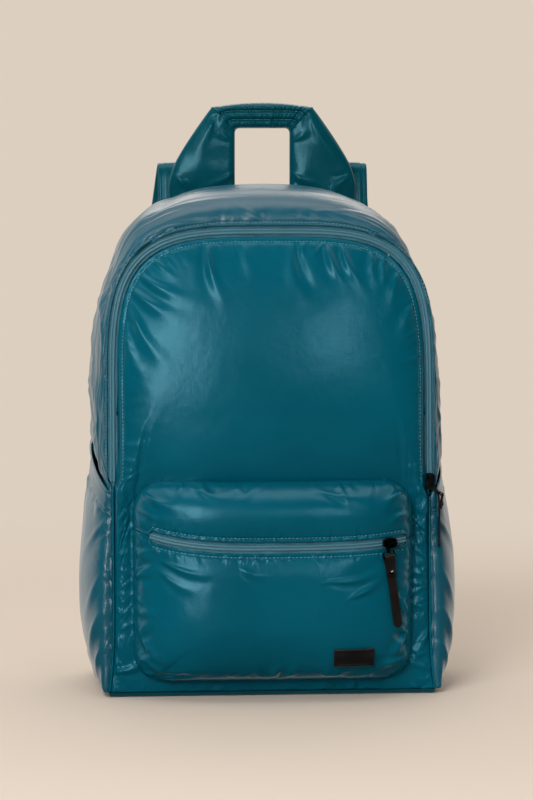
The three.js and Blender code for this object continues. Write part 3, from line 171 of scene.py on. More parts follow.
class HalfOutline:
    """Half of an arched outline in the XZ plane, from a wall's foot up to the top centre."""

    def __init__(self, half, height, arch, foot_half, nip=0):
        self.half, self.nip, self.foot_half = half, nip, foot_half
        self.rise, self.power = arch
        self.spring = height - self.rise
        z = np.linspace(WALL_FOOT, self.spring, 400)
        angle = np.linspace(0, math.pi / 2, 900)[1:]
        across, up = np.cos(angle), np.sin(angle)
        reach = (across**self.power + up**self.power) ** (-1 / self.power)
        self.x = np.concatenate([self.half_at(z), self.half_at(self.spring) * reach * across])
        self.z = np.concatenate([z, self.spring + self.rise * reach * up])
        step = np.hypot(np.diff(self.x), np.diff(self.z))
        self.run = np.concatenate([[0], np.cumsum(step)])
        self.length = self.run[-1]

    def half_at(self, z):
        above = smoothstep(z, HEM_FRONT_HEIGHT + 14, HEM_BACK_HEIGHT + 6)
        nipped = self.half - self.nip * (1 - above)
        share = np.clip(z / FLARE_HEIGHT, 0, 1)
        return lerp(self.foot_half, nipped, 1 - (1 - share) ** 2)

    def at(self, share):
        run = np.clip(share, 0, 1) * self.length
        return np.interp(run, self.run, self.x), np.interp(run, self.run, self.z)

    def outward(self, share):
        low_x, low_z = self.at(share - 0.003)
        high_x, high_z = self.at(share + 0.003)
        size = np.hypot(high_x - low_x, high_z - low_z)
        return (high_z - low_z) / size, -(high_x - low_x) / size

    def share_at(self, x, z, inset):
        """0 in the middle, 1 on the outline moved inwards by the inset."""
        straight = np.abs(x) / (self.half_at(z) - inset)
        across = np.abs(x) / (self.half_at(self.spring) - inset)
        up = np.clip(z - self.spring, 0, None) / (self.rise - inset)
        arch = (across**self.power + up**self.power) ** (1 / self.power)
        return np.where(z <= self.spring, straight, arch)

    def top_at(self, x, inset):
        """The outline's height above a distance from the middle."""
        across = np.clip(np.abs(x) / (self.half_at(self.spring) - inset), 0, 1)
        return self.spring + (self.rise - inset) * (1 - across**self.power) ** (1 / self.power)

    def seam_place(self, x, z, inset):
        """How far along the outline the nearest part of it is, and how far away."""
        share = np.clip(self.share_at(x, z, inset), 1e-3, None)
        on_arch = z > self.spring
        edge_x = np.where(on_arch, np.abs(x) / share, self.half_at(z) - inset)
        edge_z = np.where(on_arch, self.spring + (z - self.spring) / share, z)
        away = np.hypot(edge_x - np.abs(x), edge_z - z)
        angle = np.arctan2(edge_z - self.spring, edge_x)
        table = np.arctan2(self.z - self.spring, self.x)
        along = np.where(on_arch, np.interp(angle, table, self.run), z - WALL_FOOT)
        return along, away


FOOT_EDGE = BASE_HALF_WIDTH - BASE_EDGE_ROUND
FRONT = HalfOutline(FRONT_HALF_WIDTH, FRONT_HEIGHT, FRONT_ARCH, FOOT_EDGE)
BACK = HalfOutline(BACK_HALF_WIDTH, BACK_HEIGHT, BACK_ARCH, FOOT_EDGE)
CREST = {
    side: HalfOutline(BODY_HALF_WIDTH, BODY_HEIGHT, arch, BASE_HALF_WIDTH, NIP_DEPTH)
    for side, arch in CREST_ARCH.items()
}


def front_seam_y(z):
    return FRONT_SEAM_Y + TOP_LEAN * (z / FRONT_HEIGHT)


def seam_half_room(z, side):
    """Half the front seam's width: room for its binding, and above the zip's ends for the zip."""
    low = ZIP_END_HEIGHT - np.where(side < 0, 0, 2 * ZIP_HALF_WIDTH)
    high = ZIP_END_HEIGHT + np.where(side < 0, 9, 0)
    return lerp(SEAM_BINDING, ZIP_HALF_WIDTH, smoothstep(z, low, high))


def front_seam_point(place, outwards):
    """A point of the front seam: place runs from 0 at the left foot over the top to 1 at the right."""
    share = 2 * np.minimum(place, 1 - place)
    side = np.where(place < 0.5, -1, 1)
    x, z = FRONT.at(share)
    out_x, out_z = FRONT.outward(share)
    y = front_seam_y(z)
    return side * (x + out_x * outwards), y, z + out_z * outwards


# Mesh making


def grid_normals(grid, outwards):
    along_row = np.gradient(grid, axis=1)
    across_rows = np.gradient(grid, axis=0)
    normal = np.cross(along_row, across_rows)
    normal /= np.linalg.norm(normal, axis=-1, keepdims=True) + 1e-12
    facing = np.sum(normal * outwards, axis=-1, keepdims=True)
    return np.where(facing < 0, -normal, normal)


def mesh_object(name, points, faces, material):
    mesh = bpy.data.meshes.new(name)
    mesh.from_pydata([tuple(p) for p in np.asarray(points) * MM], [], faces)
    mesh.shade_smooth()
    mesh.materials.append(material)
    thing = bpy.data.objects.new(name, mesh)
    bpy.context.collection.objects.link(thing)
    return thing


def grid_faces(rows, columns, flip=False, start=0):
    at = start + np.arange(rows * columns).reshape(rows, columns)
    quads = np.stack([at[:-1, :-1], at[:-1, 1:], at[1:, 1:], at[1:, :-1]], -1).reshape(-1, 4)
    return (quads[:, ::-1] if flip else quads).tolist()


def wall_object(name, grid, thickness, outwards, material, step=4):
    """A sheet of points as a wall: the grid is its outer face, and a coarser inner face closes it.
    The grid has a multiple of the step, and one more, of rows and of columns."""
    rows, columns = grid.shape[:2]
    normal = grid_normals(grid, outwards)
    cross = np.cross(np.gradient(grid, axis=1), np.gradient(grid, axis=0))
    flip = np.mean(np.sum(cross * normal, axis=-1)) < 0
    inner = (grid - normal * thickness)[::step, ::step]
    count = rows * columns
    points = np.concatenate([grid.reshape(-1, 3), inner.reshape(-1, 3)])
    faces = grid_faces(rows, columns, flip) + grid_faces(*inner.shape[:2], not flip, count)
    outer_rim = rim_of(np.arange(count).reshape(rows, columns))
    inner_rim = rim_of(count + np.arange(inner.shape[0] * inner.shape[1]).reshape(inner.shape[:2]))
    outer_rim = np.append(outer_rim, outer_rim[0])
    inner_rim = np.append(inner_rim, inner_rim[0])
    for k in range(len(inner_rim) - 1):
        face = [inner_rim[k], inner_rim[k + 1], *outer_rim[k * step : (k + 1) * step + 1][::-1]]
        faces.append([int(i) for i in (face if flip else face[::-1])][::-1])
    return mesh_object(name, points, faces, material)


def rim_of(at):
    return np.concatenate([at[0, :], at[1:, -1], at[-1, -2::-1], at[-2:0:-1, 0]])


def finer(values, rows, columns):
    """A grid of values, resampled smoothly to more rows and columns."""
    deep = values.shape[2:]
    tall = smooth_columns(values.reshape(len(values), -1), rows).reshape(rows, values.shape[1], *deep)
    wide = np.swapaxes(tall, 0, 1)
    wide = smooth_columns(wide.reshape(wide.shape[0], -1), columns).reshape(columns, rows, *deep)
    return np.swapaxes(wide, 0, 1)


CLOTH_STIFFNESS = 25
CLOTH_STEPS = 15


def cloth_shift(sheet, outwards, pinned, slack, pressure, growth, most):
    """How far a sheet of cloth moves, and at most, when it is held at its pinned points, made longer by
    the growth where it is slack, and blown out from behind."""
    rows, columns = sheet.shape[:2]
    cross = np.cross(np.gradient(sheet, axis=1), np.gradient(sheet, axis=0))
    flip = np.mean(np.sum(cross * outwards, axis=-1)) < 0
    thing = mesh_object("settling", sheet.reshape(-1, 3), grid_faces(rows, columns, flip), NYLON)
    thing.vertex_groups.new(name="pins").add(np.flatnonzero(pinned).tolist(), 1.0, "REPLACE")
    loose = thing.vertex_groups.new(name="slack")
    for level in np.linspace(0.05, 1, 20):
        chosen = np.flatnonzero(np.abs(slack.ravel() - level) <= 0.025)
        loose.add(chosen.tolist(), float(level), "REPLACE")
    cloth = thing.modifiers.new("cloth", "CLOTH")
    settings = cloth.settings
    settings.quality = 4
    settings.mass = 0.1
    settings.tension_stiffness = CLOTH_STIFFNESS
    settings.compression_stiffness = CLOTH_STIFFNESS
    settings.shear_stiffness = 0.4 * CLOTH_STIFFNESS
    settings.bending_stiffness = 0.05
    settings.vertex_group_mass = "pins"
    settings.vertex_group_shrink = "slack"
    settings.shrink_min = 0
    settings.shrink_max = -growth
    settings.use_pressure = True
    settings.uniform_pressure_force = pressure
    settings.effector_weights.gravity = 0
    scene = bpy.context.scene
    for step in range(1, CLOTH_STEPS + 1):
        scene.frame_set(step)
    settled = thing.evaluated_get(bpy.context.evaluated_depsgraph_get()).to_mesh()
    points = np.empty(rows * columns * 3)
    settled.vertices.foreach_get("co", points)
    scene.frame_set(1)
    bpy.data.objects.remove(thing)
    shift = points.reshape(sheet.shape) / MM - sheet
    far = np.linalg.norm(shift, axis=-1, keepdims=True)
    return shift * np.minimum(1, most / np.maximum(far, 1e-9))


def edge_mask(shape):
    mask = np.zeros(shape, bool)
    mask[[0, -1], :] = True
    mask[:, [0, -1]] = True
    return mask


def tube_object(name, loops, material, caps=True):
    """A closed skin through loops of points: loops[ring, point, xyz]."""
    rings, count = loops.shape[:2]
    at = np.arange(rings * count).reshape(rings, count)
    following = np.roll(at, -1, axis=1)
    quads = np.stack([at[:-1], following[:-1], following[1:], at[1:]], -1).reshape(-1, 4).tolist()
    if caps:
        quads.append(at[0, ::-1].tolist())
        quads.append(at[-1].tolist())
    thing = mesh_object(name, loops.reshape(-1, 3), quads, material)
    probe = np.cross(loops[1, 0] - loops[0, 0], loops[0, 1] - loops[0, 0])
    if np.dot(probe, loops[0, 0] - loops[0].mean(0)) > 0:
        thing.data.flip_normals()
    return thing


# Folds


GATHERS = {
    # spacing, depth, length, width, slant
    "wall_front": (7, 0.6, 22, 3.2, 0.5),
    "wall_back": (11, 0.9, 22, 4.5, 0.25),
    "front_edge": (6, 0.9, 16, 2.2, 0.25),
    "front_below_zip": (3.6, 0.65, 22, 1.5, 0.9),
    "front_foot": (7, 1.3, 9, 3, 0.4),
    "back_edge": (10, 0.8, 13, 3, 0.25),
    "pocket_zip": (3.2, 1.0, 8, 1.25, 0.3),
    "pocket_sides": (6.5, 1.4, 15, 2.6, 0.5),
    "pocket_ends": (9, 1.1, 13, 3, 0.4),
    "side_pocket_front": (6, 0.3, 26, 2.6, 0.7),
    "side_pocket_back": (9, 1.1, 18, 3.4, 0.25),
    "side_pocket_hem": (7, 1.0, 14, 2.6, 0.25),
    "side_pocket_foot": (9, 1.1, 20, 4, 0.25),
    "wing_foot": (5, 1.2, 16, 2.4, 0.3),
    "wing_top": (5, 0.9, 16, 2.2, 0.25),
    "grip": (1.8, 0.75, 6, 0.95, 0.1),
    "strap": (6, 1.0, 10, 2.6, 0.2),
}


def puckers(rng, along, away, span, kind):
    """Gathers of a kind that run from a seam into the cloth, over a span along the seam."""
    spacing, depth, length, width, slant = GATHERS[kind]
    height = np.zeros_like(along)
    for _ in range(max(int((span[1] - span[0]) / spacing), 1)):
        at = rng.uniform(*span)
        reach = length * rng.uniform(0.35, 1.4)
        wide = width * rng.uniform(0.6, 1.5)
        tall = depth * rng.uniform(0.25, 1.1)
        lean = rng.normal(0, slant)
        q = (along - at - lean * away) / (wide * (1 + 0.8 * away / reach))
        ridge = np.exp(-q * q) - 0.6 * np.exp(-((q - 1.4) ** 2)) - 0.2 * np.exp(-((q + 1.6) ** 2))
        t = away / reach
        height += tall * ridge * np.minimum(t * 5, 1) * np.exp(-1.5 * t * t)
    return height


def creases(x, z, table):
    """Single folds, each from a start to an end, as a table gives them."""
    height = np.zeros_like(x)
    for x0, z0, x1, z1, width, tall in table:
        length = math.hypot(x1 - x0, z1 - z0)
        along = ((x - x0) * (x1 - x0) + (z - z0) * (z1 - z0)) / length**2
        bow = 0.07 * length * np.sin(math.pi * np.clip(along, 0, 1))
        off = ((x - x0) * (z1 - z0) - (z - z0) * (x1 - x0)) / length - bow
        q = off / (width * (0.6 + 1.1 * np.clip(along, 0, 1)))
        taper = np.exp(-(((along - 0.25) / np.where(along < 0.25, 0.25, 0.55)) ** 2))
        height += tall * taper * (np.exp(-q * q) - 0.4 * np.exp(-((q - 1.7) ** 2) / 2.2))
    return height


def fold(q):
    """Across a fold: a ridge with a shallow valley beside it."""
    return np.exp(-q * q) - 0.5 * np.exp(-((q - 1.6) ** 2) / 1.6)


def stitched_edge(away):
    """The rolled edge of cloth beside a zip, with the groove of its row of stitches."""
    return 0.7 * bump_at(away, 0, 1.6) - 0.75 * bump_at(away, STITCH_PLACE, 0.9)


# Materials


def link(owner, source, target):
    owner.node_tree.links.new(source, target)


def add_node(owner, kind, **values):
    node = owner.node_tree.nodes.new("ShaderNode" + kind)
    for key, value in values.items():
        if key in node.inputs:
            node.inputs[key].default_value = value
        else:
            setattr(node, key, value)
    return node


def noise(material, place, scale, detail):
    node = add_node(material, "TexNoise", Scale=scale, Detail=detail)
    link(material, place, node.inputs["Vector"])
    return node.outputs["Fac"]


def grain(material, place, scale, _):
    node = add_node(material, "TexVoronoi", Scale=scale)
    link(material, place, node.inputs["Vector"])
    return node.outputs["Distance"]


def weave(material, place, pitch, _):
    """A plain weave as the product of two crossed waves, of about the pitch given in metres."""
    both = add_node(material, "Math", operation="MULTIPLY")
    for direction, socket in zip("XZ", both.inputs):
        wave = add_node(material, "TexWave", bands_direction=direction, Scale=1 / (pitch * 6.5))
        link(material, place, wave.inputs["Vector"])
        link(material, wave.outputs["Fac"], socket)
    return both.outputs["Value"]


def shade(colour, share):
    return tuple(share * c for c in colour)


def finish(name, colour, roughness, bumps, wear=None, mottle=None, metallic=0, specular=0.5, tint=(1, 1, 1)):
    """A material whose colour and roughness may vary over it.
    bumps: rows of kind, scale, detail, strength and distance.
    wear: scale and detail of its patches of roughness, and how much they take off and add.
    mottle: scale and detail of its patches of colour, and their darkest and lightest colour."""
    material = bpy.data.materials.new(name)
    material.use_nodes = True
    shader = material.node_tree.nodes["Principled BSDF"]
    shader.inputs["Base Color"].default_value = (*colour, 1)
    shader.inputs["Roughness"].default_value = roughness
    shader.inputs["Metallic"].default_value = metallic
    shader.inputs["Specular IOR Level"].default_value = specular
    shader.inputs["Specular Tint"].default_value = (*tint, 1)
    place = add_node(material, "TexCoord").outputs["Object"]
    if mottle:
        ramp = add_node(material, "ValToRGB")
        for element, position, end in zip(ramp.color_ramp.elements, (0.3, 0.7), mottle[2:]):
            element.position = position
            element.color = (*end, 1)
        link(material, noise(material, place, *mottle[:2]), ramp.inputs["Fac"])
        link(material, ramp.outputs["Color"], shader.inputs["Base Color"])
    if wear:
        low, high = roughness + wear[2], roughness + wear[3]
        spread = add_node(material, "MapRange", **{"To Min": low, "To Max": high})
        link(material, noise(material, place, *wear[:2]), spread.inputs["Value"])
        link(material, spread.outputs["Result"], shader.inputs["Roughness"])
    normal = None
    for kind, scale, detail, strength, distance in bumps:
        bump = add_node(material, "Bump", Strength=strength, Distance=distance)
        link(material, kind(material, place, scale, detail), bump.inputs["Height"])
        if normal:
            link(material, normal, bump.inputs["Normal"])
        normal = bump.outputs["Normal"]
    link(material, normal, shader.inputs["Normal"])
    return material


NYLON_BUMPS = [
    # kind, scale, detail, strength, distance
    (noise, 60, 5, 0.12, 0.004),
    (noise, 210, 3, 0.08, 0.001),
    (weave, 0.0006, 0, 0.12, 0.0002),
]


def nylon(name, colour, roughness=0.23, tint=(0.36, 0.82, 1.0), specular=0.5):
    """Coated nylon: glossy, with a fine weave and small crinkles that the light catches."""
    mottle = (9, 4, shade(colour, 0.86), shade(colour, 1.12))
    wear = (24, 3, -0.04, 0.06)
    return finish(name, colour, roughness, NYLON_BUMPS, wear, mottle, specular=specular, tint=tint)


def webbing(name, colour):
    mottle = (60, 3, shade(colour, 0.8), shade(colour, 1.2))
    return finish(name, colour, 0.7, [(weave, 0.0012, 0, 0.6, 0.0004)], mottle=mottle, specular=0.3)


def metal(name, colour, roughness):
    mottle = (260, 3, shade(colour, 0.7), shade(colour, 1.3))
    wear = (400, 3, -0.08, 0.12)
    return finish(name, colour, roughness, [(noise, 900, 2, 0.12, 0.0002)], wear, mottle, metallic=1)


TEAL = (0.0, 0.071, 0.112)
NYLON = nylon("nylon_teal", TEAL)
SIDE_NYLON = nylon("nylon_side", TEAL, 0.3, (1.0, 0.86, 0.82), 0.85)
# A darker copy of the teal nylon for the handle and the straps: painted shade, standing in for the less
# light these parts get
SHADED_NYLON = nylon("nylon_painted_shade", (0.0, 0.05, 0.07))
LINING = nylon("nylon_lining", (0.002, 0.045, 0.06), 0.5)
TAPE = webbing("zip_tape", (0.03, 0.115, 0.155))
WEBBING = webbing("strap_webbing", (0.003, 0.05, 0.066))
METAL = metal("black_metal", (0.035, 0.036, 0.04), 0.32)
STEEL = metal("rivet_steel", (0.6, 0.6, 0.6), 0.25)
COIL = finish(
    "zip_coil",
    colour=(0.04, 0.135, 0.185),
    roughness=0.42,
    bumps=[(noise, 700, 2, 0.3, 0.0003)],
    wear=(120, 2, -0.1, 0.13),
    specular=0.55,
)
LEATHER = finish(
    "leather_black",
    colour=(0.006, 0.005, 0.0055),
    roughness=0.4,
    bumps=[(grain, 1500, 0, 0.4, 0.0003)],
    wear=(160, 3, -0.04, 0.18),
    mottle=(70, 4, (0.004, 0.0033, 0.0036), (0.011, 0.0085, 0.009)),
    specular=0.4,
)
PLASTIC = finish(
    "buckle_plastic",
    colour=(0.012, 0.017, 0.02),
    roughness=0.45,
    bumps=[(noise, 1400, 2, 0.2, 0.0002)],
    wear=(300, 3, -0.07, 0.11),
)
THREAD = finish(
    "thread",
    colour=(0.08, 0.25, 0.31),
    roughness=0.45,
    bumps=[(noise, 2500, 2, 0.3, 0.0002)],
    wear=(500, 2, -0.07, 0.1),
)


# The body


def side_wall_sheet(rows, columns):
    """The side wall's outer face: its points, and how far each is along the wall and across it (0 to 1)."""
    place = np.linspace(0, 1, rows)[:, None]
    angle = math.pi * np.linspace(0, 1, columns)[None, :]
    depth = angle / math.pi
    share = 2 * np.minimum(place, 1 - place)
    side = np.where(place < 0.5, -1, 1)
    left_x, left_z = CREST[-1].at(share)
    right_x, right_z = CREST[1].at(share)
    middle_x = np.where(side < 0, left_x, right_x)
    middle_z = np.where(side < 0, left_z, right_z)
    front_x, front_y, front_z = front_seam_point(place, seam_half_room(FRONT.at(share)[1], side))
    back_x, back_z = BACK.at(share)
    bulge = np.clip(np.sin(angle), 0, None) ** (2 / SIDE_WALL_POWER)
    along = (1 - rounded(np.cos(angle), 2 / SIDE_WALL_POWER)) / 2
    edge_x = np.where(depth < 0.5, np.abs(front_x), back_x)
    edge_z = np.where(depth < 0.5, front_z, back_z)
    x = lerp(edge_x, middle_x, bulge)
    z = np.maximum(lerp(edge_z, middle_z, bulge), WALL_FOOT)
    y = lerp(front_y, BACK_SEAM_Y, along)
    run = place * 2 * FRONT.length + 0 * angle
    return np.stack([side * x, y, z], -1), run, depth + 0 * place


MIDDLE = np.array([0, 0, BODY_HEIGHT / 2])
SIDE_WALL_ARC = 180
SIDE_WALL_TRIM = {-1: 4.5, 1: 3.0}
SHOULDER_HEIGHT = 405
TALL_FOLD = 3


def hem_height(depth):
    """The side pockets' hem, for a depth of 0 at the front seam to 1 at the back."""
    return lerp(HEM_FRONT_HEIGHT, HEM_BACK_HEIGHT, depth)


def under_side_pocket(z, depth):
    return smoothstep(hem_height(depth) + 6 - z, 0, 12)


def side_wall_shift(rows, columns):
    sheet, _, depth = side_wall_sheet(rows, columns)
    away = np.minimum(depth, 1 - depth) * SIDE_WALL_ARC
    pinned = edge_mask(depth.shape) | (under_side_pocket(sheet[..., 2], depth) > 0.4)
    slack = np.clip(0.35 + 0.65 * bump_at(away, 0, 34), 0, 1)
    return cloth_shift(sheet, sheet - MIDDLE, pinned, slack, pressure=250, growth=0.065, most=5)


def side_wall():
    rng = np.random.default_rng(11)
    rows, columns = 561, 97
    grid, run, depth = side_wall_sheet(rows, columns)
    total = 2 * FRONT.length
    open_share = 1 - under_side_pocket(grid[..., 2], depth)
    grid = grid + finer(side_wall_shift(285, 44), rows, columns) * open_share[..., None]
    away_front, away_back = depth * SIDE_WALL_ARC, (1 - depth) * SIDE_WALL_ARC
    height = puckers(rng, run, away_front, (0, total), "wall_front")
    height += puckers(rng, run, away_back, (0, total), "wall_back")
    # long folds that slant across the side wall, mostly round the shoulders
    for _ in range(34):
        at = rng.choice([rng.uniform(0.18, 0.41), rng.uniform(0.59, 0.82)]) * total
        slope = math.copysign(rng.uniform(0.15, 1.4), total / 2 - at)
        q = (run - at - slope * (away_front - 80)) / rng.uniform(5, 12)
        extent = bump_at(away_front, rng.uniform(40, 130), rng.uniform(22, 60))
        height += rng.uniform(0.4, 1.5) * fold(q) * extent
    # fine folds that run along the shoulders, nearly side by side with the zip
    for _ in range(90):
        at = rng.choice([rng.uniform(0.17, 0.43), rng.uniform(0.57, 0.83)]) * total
        reach_at = rng.uniform(8, 120)
        slant = rng.normal(0, 0.12) + 0.1 * math.copysign(1, at - total / 2)
        q = (away_front - reach_at - slant * (run - at)) / rng.uniform(1.5, 3.6)
        extent = bump_at(run, at, rng.uniform(22, 60))
        height += rng.uniform(0.3, 0.95) * fold(q) * extent
    height = np.where(height > TALL_FOLD, TALL_FOLD + (height - TALL_FOLD) * 0.3, height)
    height *= np.minimum(np.minimum(away_front, away_back) / 6, 1) * open_share
    z = grid[..., 2]
    height -= 1.7 * smoothstep(hem_height(depth) - z, 10, 45)
    trimmed = smoothstep(z, 170, 250) - smoothstep(z, 360, 400)
    trim = np.where(run < total / 2, SIDE_WALL_TRIM[-1], SIDE_WALL_TRIM[1])
    height -= trim * np.sin(math.pi * depth) * trimmed
    height += 2.5 * np.sin(math.pi * depth) * bump_at(z, SHOULDER_HEIGHT, 20)
    zipped = smoothstep(z, ZIP_END_HEIGHT - 4, ZIP_END_HEIGHT + 4)
    height += stitched_edge(away_front) * zipped
    normal = grid_normals(grid, grid - MIDDLE)
    grid = grid + normal * height[..., None]
    grid[..., 2] = np.maximum(grid[..., 2], WALL_FOOT)
    stitch_along(grid, normal, run, away_front, STITCH_PLACE, (zip_run_start(), total - zip_run_start()))
    return wall_object("shell_side_wall", grid, PANEL_THICKNESS, grid - MIDDLE, SIDE_NYLON)


def front_run_at(z):
    """How far along the front seam a height below the arch's top is."""
    half = len(FRONT.z) // 2
    return np.interp(z, FRONT.z[:half], FRONT.run[:half])


def zip_run_start():
    return float(front_run_at(ZIP_END_HEIGHT + 4))


STITCHES = []


def stitch_along(grid, normal, run, away, at, span):
    """Notes a row of stitches at a distance from an edge, to be sewn once all sheets are made."""
    near = np.abs(away - at) < 2.6
    points, normals, runs, aways = grid[near], normal[near], run[near], away[near]
    centres, facings = [], []
    for place in np.arange(*span, STITCH_SPACING):
        close = np.abs(runs - place) < 4
        if not close.any():
            continue
        weight = np.exp(-((runs[close] - place) ** 2 + (aways[close] - at) ** 2) / 1.6)[:, None]
        if weight.sum() < 1e-3:
            continue
        centres.append((points[close] * weight).sum(0) / weight.sum())
        facings.append((normals[close] * weight).sum(0))
    centres, facings = np.array(centres), np.array(facings)
    STITCHES.append((centres, unit(np.gradient(centres, axis=0)), unit(facings)))


def front_puff(x, z):
    share = np.clip(FRONT.share_at(x, z, seam_half_room(z, x)), 0, 1)
    above = smoothstep(z, POCKET_TOP - 2 * POCKET_CORNER, POCKET_TOP + 2 * POCKET_CORNER)
    full = lerp(FRONT_PUFF_BEHIND_POCKET, FRONT_PUFF, above)
    from_foot = np.clip((z - WALL_FOOT) / FLARE_HEIGHT, 0, 1)
    return full * (1 - share**2.5) ** 0.8 * (1 - (1 - from_foot) ** 3)


def front_surface_y(x, z):
    return front_seam_y(z) - front_puff(x, z)


FRONT_PULL_IN = 3
FRONT_CREASE_GAIN = 1.4
FRONT_CREASES = [
    # x0, z0, x1, z1, width, height
    (-121, 352, -84, 330, 4.0, 2.2),
    (-121, 336, -96, 292, 4.4, 2.3),
    (-113, 364, -70, 344, 3.6, 1.8),
    (-126, 318, -112, 276, 4.0, 1.4),
    (-55, 391, -43, 344, 3.0, 2.2),
    (-22, 391, -15, 362, 3.4, 0.9),
    (22, 388, 38, 344, 4.2, -2.0),
    (48, 390, 63, 356, 3.2, 2.2),
    (61, 390, 78, 354, 3.2, 1.9),
    (88, 386, 92, 352, 3.2, 1.4),
    (99, 380, 100, 350, 3.0, 1.3),
    (112, 367, 105, 334, 3.8, 1.3),
    (124, 340, 113, 306, 3.8, 1.1),
    (-139, 64, -123, 28, 3.0, 1.6),
    (-137, 22, -104, 34, 2.8, 1.7),
    (-138, 42, -126, 12, 2.4, 1.2),
    (139, 58, 124, 26, 3.0, 1.6),
    (137, 20, 106, 31, 2.8, 1.6),
]


def panel_shares(columns):
    """Places across a panel from -1 to 1, closer together towards its sides."""
    even = np.linspace(-1, 1, columns)
    return (0.45 * even + 0.55 * np.sin(math.pi / 2 * even))[None, :]


def front_sheet(rows, columns):
    share = panel_shares(columns)
    top = FRONT.top_at(share * (FRONT.half_at(FRONT.spring) - ZIP_HALF_WIDTH), ZIP_HALF_WIDTH)
    z = lerp(WALL_FOOT, top, np.linspace(0, 1, rows)[:, None])
    inset = np.where(z > FRONT.spring, ZIP_HALF_WIDTH, seam_half_room(z, share))
    x = share * (FRONT.half_at(z) - inset)
    along, away = FRONT.seam_place(x, z, inset)
    run = np.where(x < 0, along, 2 * FRONT.length - along)
    return np.stack([x, front_surface_y(x, z), z], -1), run, away


def front_shift(rows, columns):
    sheet, _, away = front_sheet(rows, columns)
    x, z = sheet[..., 0], sheet[..., 2]
    under_pocket = (np.abs(x) < pocket_half_width_at(z) + 2) & (z > POCKET_FOOT) & (z < POCKET_TOP + 2)
    pinned = edge_mask(x.shape) | under_pocket
    slack = np.clip(0.2 + 0.8 * bump_at(away, 0, 32) + 0.5 * bump_at(z, POCKET_TOP, 25), 0, 1)
    return cloth_shift(sheet, FRONTWARDS, pinned, slack, pressure=300, growth=0.07, most=7)


def front_panel():
    rng = np.random.default_rng(5)
    rows, columns = 281, 221
    grid, run, away = front_sheet(rows, columns)
    grid = grid + finer(front_shift(116, 82), rows, columns)
    above_pocket = smoothstep(grid[..., 2], POCKET_TOP + 5, POCKET_TOP + 60)
    grid[..., 1] += FRONT_PULL_IN * (1 - bump_at(away, 0, 40)) * above_pocket
    x, z = grid[..., 0], grid[..., 2]
    length = 2 * FRONT.length
    zipped = smoothstep(z, ZIP_END_HEIGHT - 4, ZIP_END_HEIGHT + 4)
    height = puckers(rng, run, away, (0, length), "front_edge") * lerp(0.35, 1, zipped)
    for start, end in ((0, 190), (length - 190, length)):
        height += puckers(rng, run, away, (start, end), "front_below_zip")
    height += puckers(rng, x, z - WALL_FOOT, (-140, 140), "front_foot")
    height += FRONT_CREASE_GAIN * creases(x, z, FRONT_CREASES)
    height *= np.minimum(away / lerp(3, 7, zipped), 1)
    height += stitched_edge(away) * zipped
    normal = grid_normals(grid, FRONTWARDS)
    grid = grid + normal * height[..., None]
    grid[..., 2] = np.maximum(grid[..., 2], WALL_FOOT)
    stitch_along(grid, normal, run, away, STITCH_PLACE, (zip_run_start(), length - zip_run_start()))
    return wall_object("shell_front", grid, PANEL_THICKNESS, FRONTWARDS, NYLON)


SEAM_TOP = {-1: ZIP_END_HEIGHT, 1: ZIP_END_HEIGHT - 11}


def seam_binding(name, side):
    """The bound seam between the front panel and a side pocket, up to the zip."""
    place = front_run_at(np.linspace(WALL_FOOT + 0.5, SEAM_TOP[side], 200)) / (2 * FRONT.length)
    x, y, z = (value[:, None] for value in front_seam_point(place if side < 0 else 1 - place, 0))
    angle = circle(10)[None, :]
    radius = SEAM_BINDING - 0.1
    loops = np.stack([x + radius * np.cos(angle), y - 0.6 + radius * np.sin(angle), z + 0 * angle], -1)
    return tube_object(name, loops, NYLON)


def back_panel():
    rng = np.random.default_rng(8)
    rows, columns = 177, 145
    share = panel_shares(columns)
    half = BACK.half_at(BACK.spring) - SEAM_GAP
    top = BACK.top_at(share * half, SEAM_GAP)
    z = lerp(WALL_FOOT, top, np.linspace(0, 1, rows)[:, None])
    x = share * (BACK.half_at(z) - SEAM_GAP)
    along, away = BACK.seam_place(x, z, SEAM_GAP)
    away = np.minimum(away, z - WALL_FOOT)
    pad = 1 - bump_at(away, 0, 9)
    channel = np.zeros_like(z)
    for x0 in (-47, 47):
        channel += bump_at(x, x0, 2.2)
    for z0 in (120, 215, 310):
        channel += bump_at(z, z0, 2.2)
    run = np.where(x < 0, along, 2 * BACK.length - along)
    height = puckers(rng, run, away, (0, 2 * BACK.length), "back_edge")
    height += 0.35 * waves(rng, np.stack([x, z], -1), 60)
    inside = smoothstep(away, 10, 20)
    height = height * np.minimum(away / 6, 1) - 1.9 * np.clip(channel, 0, 1) * inside
    y = BACK_SEAM_Y + BACK_PAD * pad + height
    grid = np.stack([x, y, z], -1)
    return wall_object("shell_back", grid, BACK_THICKNESS, BACKWARDS, NYLON)


# The front pocket

POCKET_MIDDLE_Z = (POCKET_FOOT + POCKET_TOP) / 2
POCKET_HALF_HEIGHT = (POCKET_TOP - POCKET_FOOT) / 2
POCKET_PULL_IN = 1.8
POCKET_CROWN = 3.4


def pocket_half_width_at(z):
    into = np.abs(z - POCKET_MIDDLE_Z) - (POCKET_HALF_HEIGHT - POCKET_CORNER)
    share = np.clip(into / POCKET_CORNER, 0, 1)
    return POCKET_HALF_WIDTH - POCKET_CORNER * (1 - np.sqrt(1 - share * share))


def pocket_point(share, z):
    x = share * pocket_half_width_at(z)
    up = (z - POCKET_MIDDLE_Z) / POCKET_HALF_HEIGHT
    across = np.clip(1 - np.abs(share) ** POCKET_POWER, 0, None) ** 0.4
    upright = np.clip(1 - np.abs(up) ** POCKET_POWER, 0, None) ** 0.4
    y = front_surface_y(x, z) - CLEARANCE - POCKET_DEPTH * across * upright
    return np.stack([x + 0 * y, y, z + 0 * y], -1)


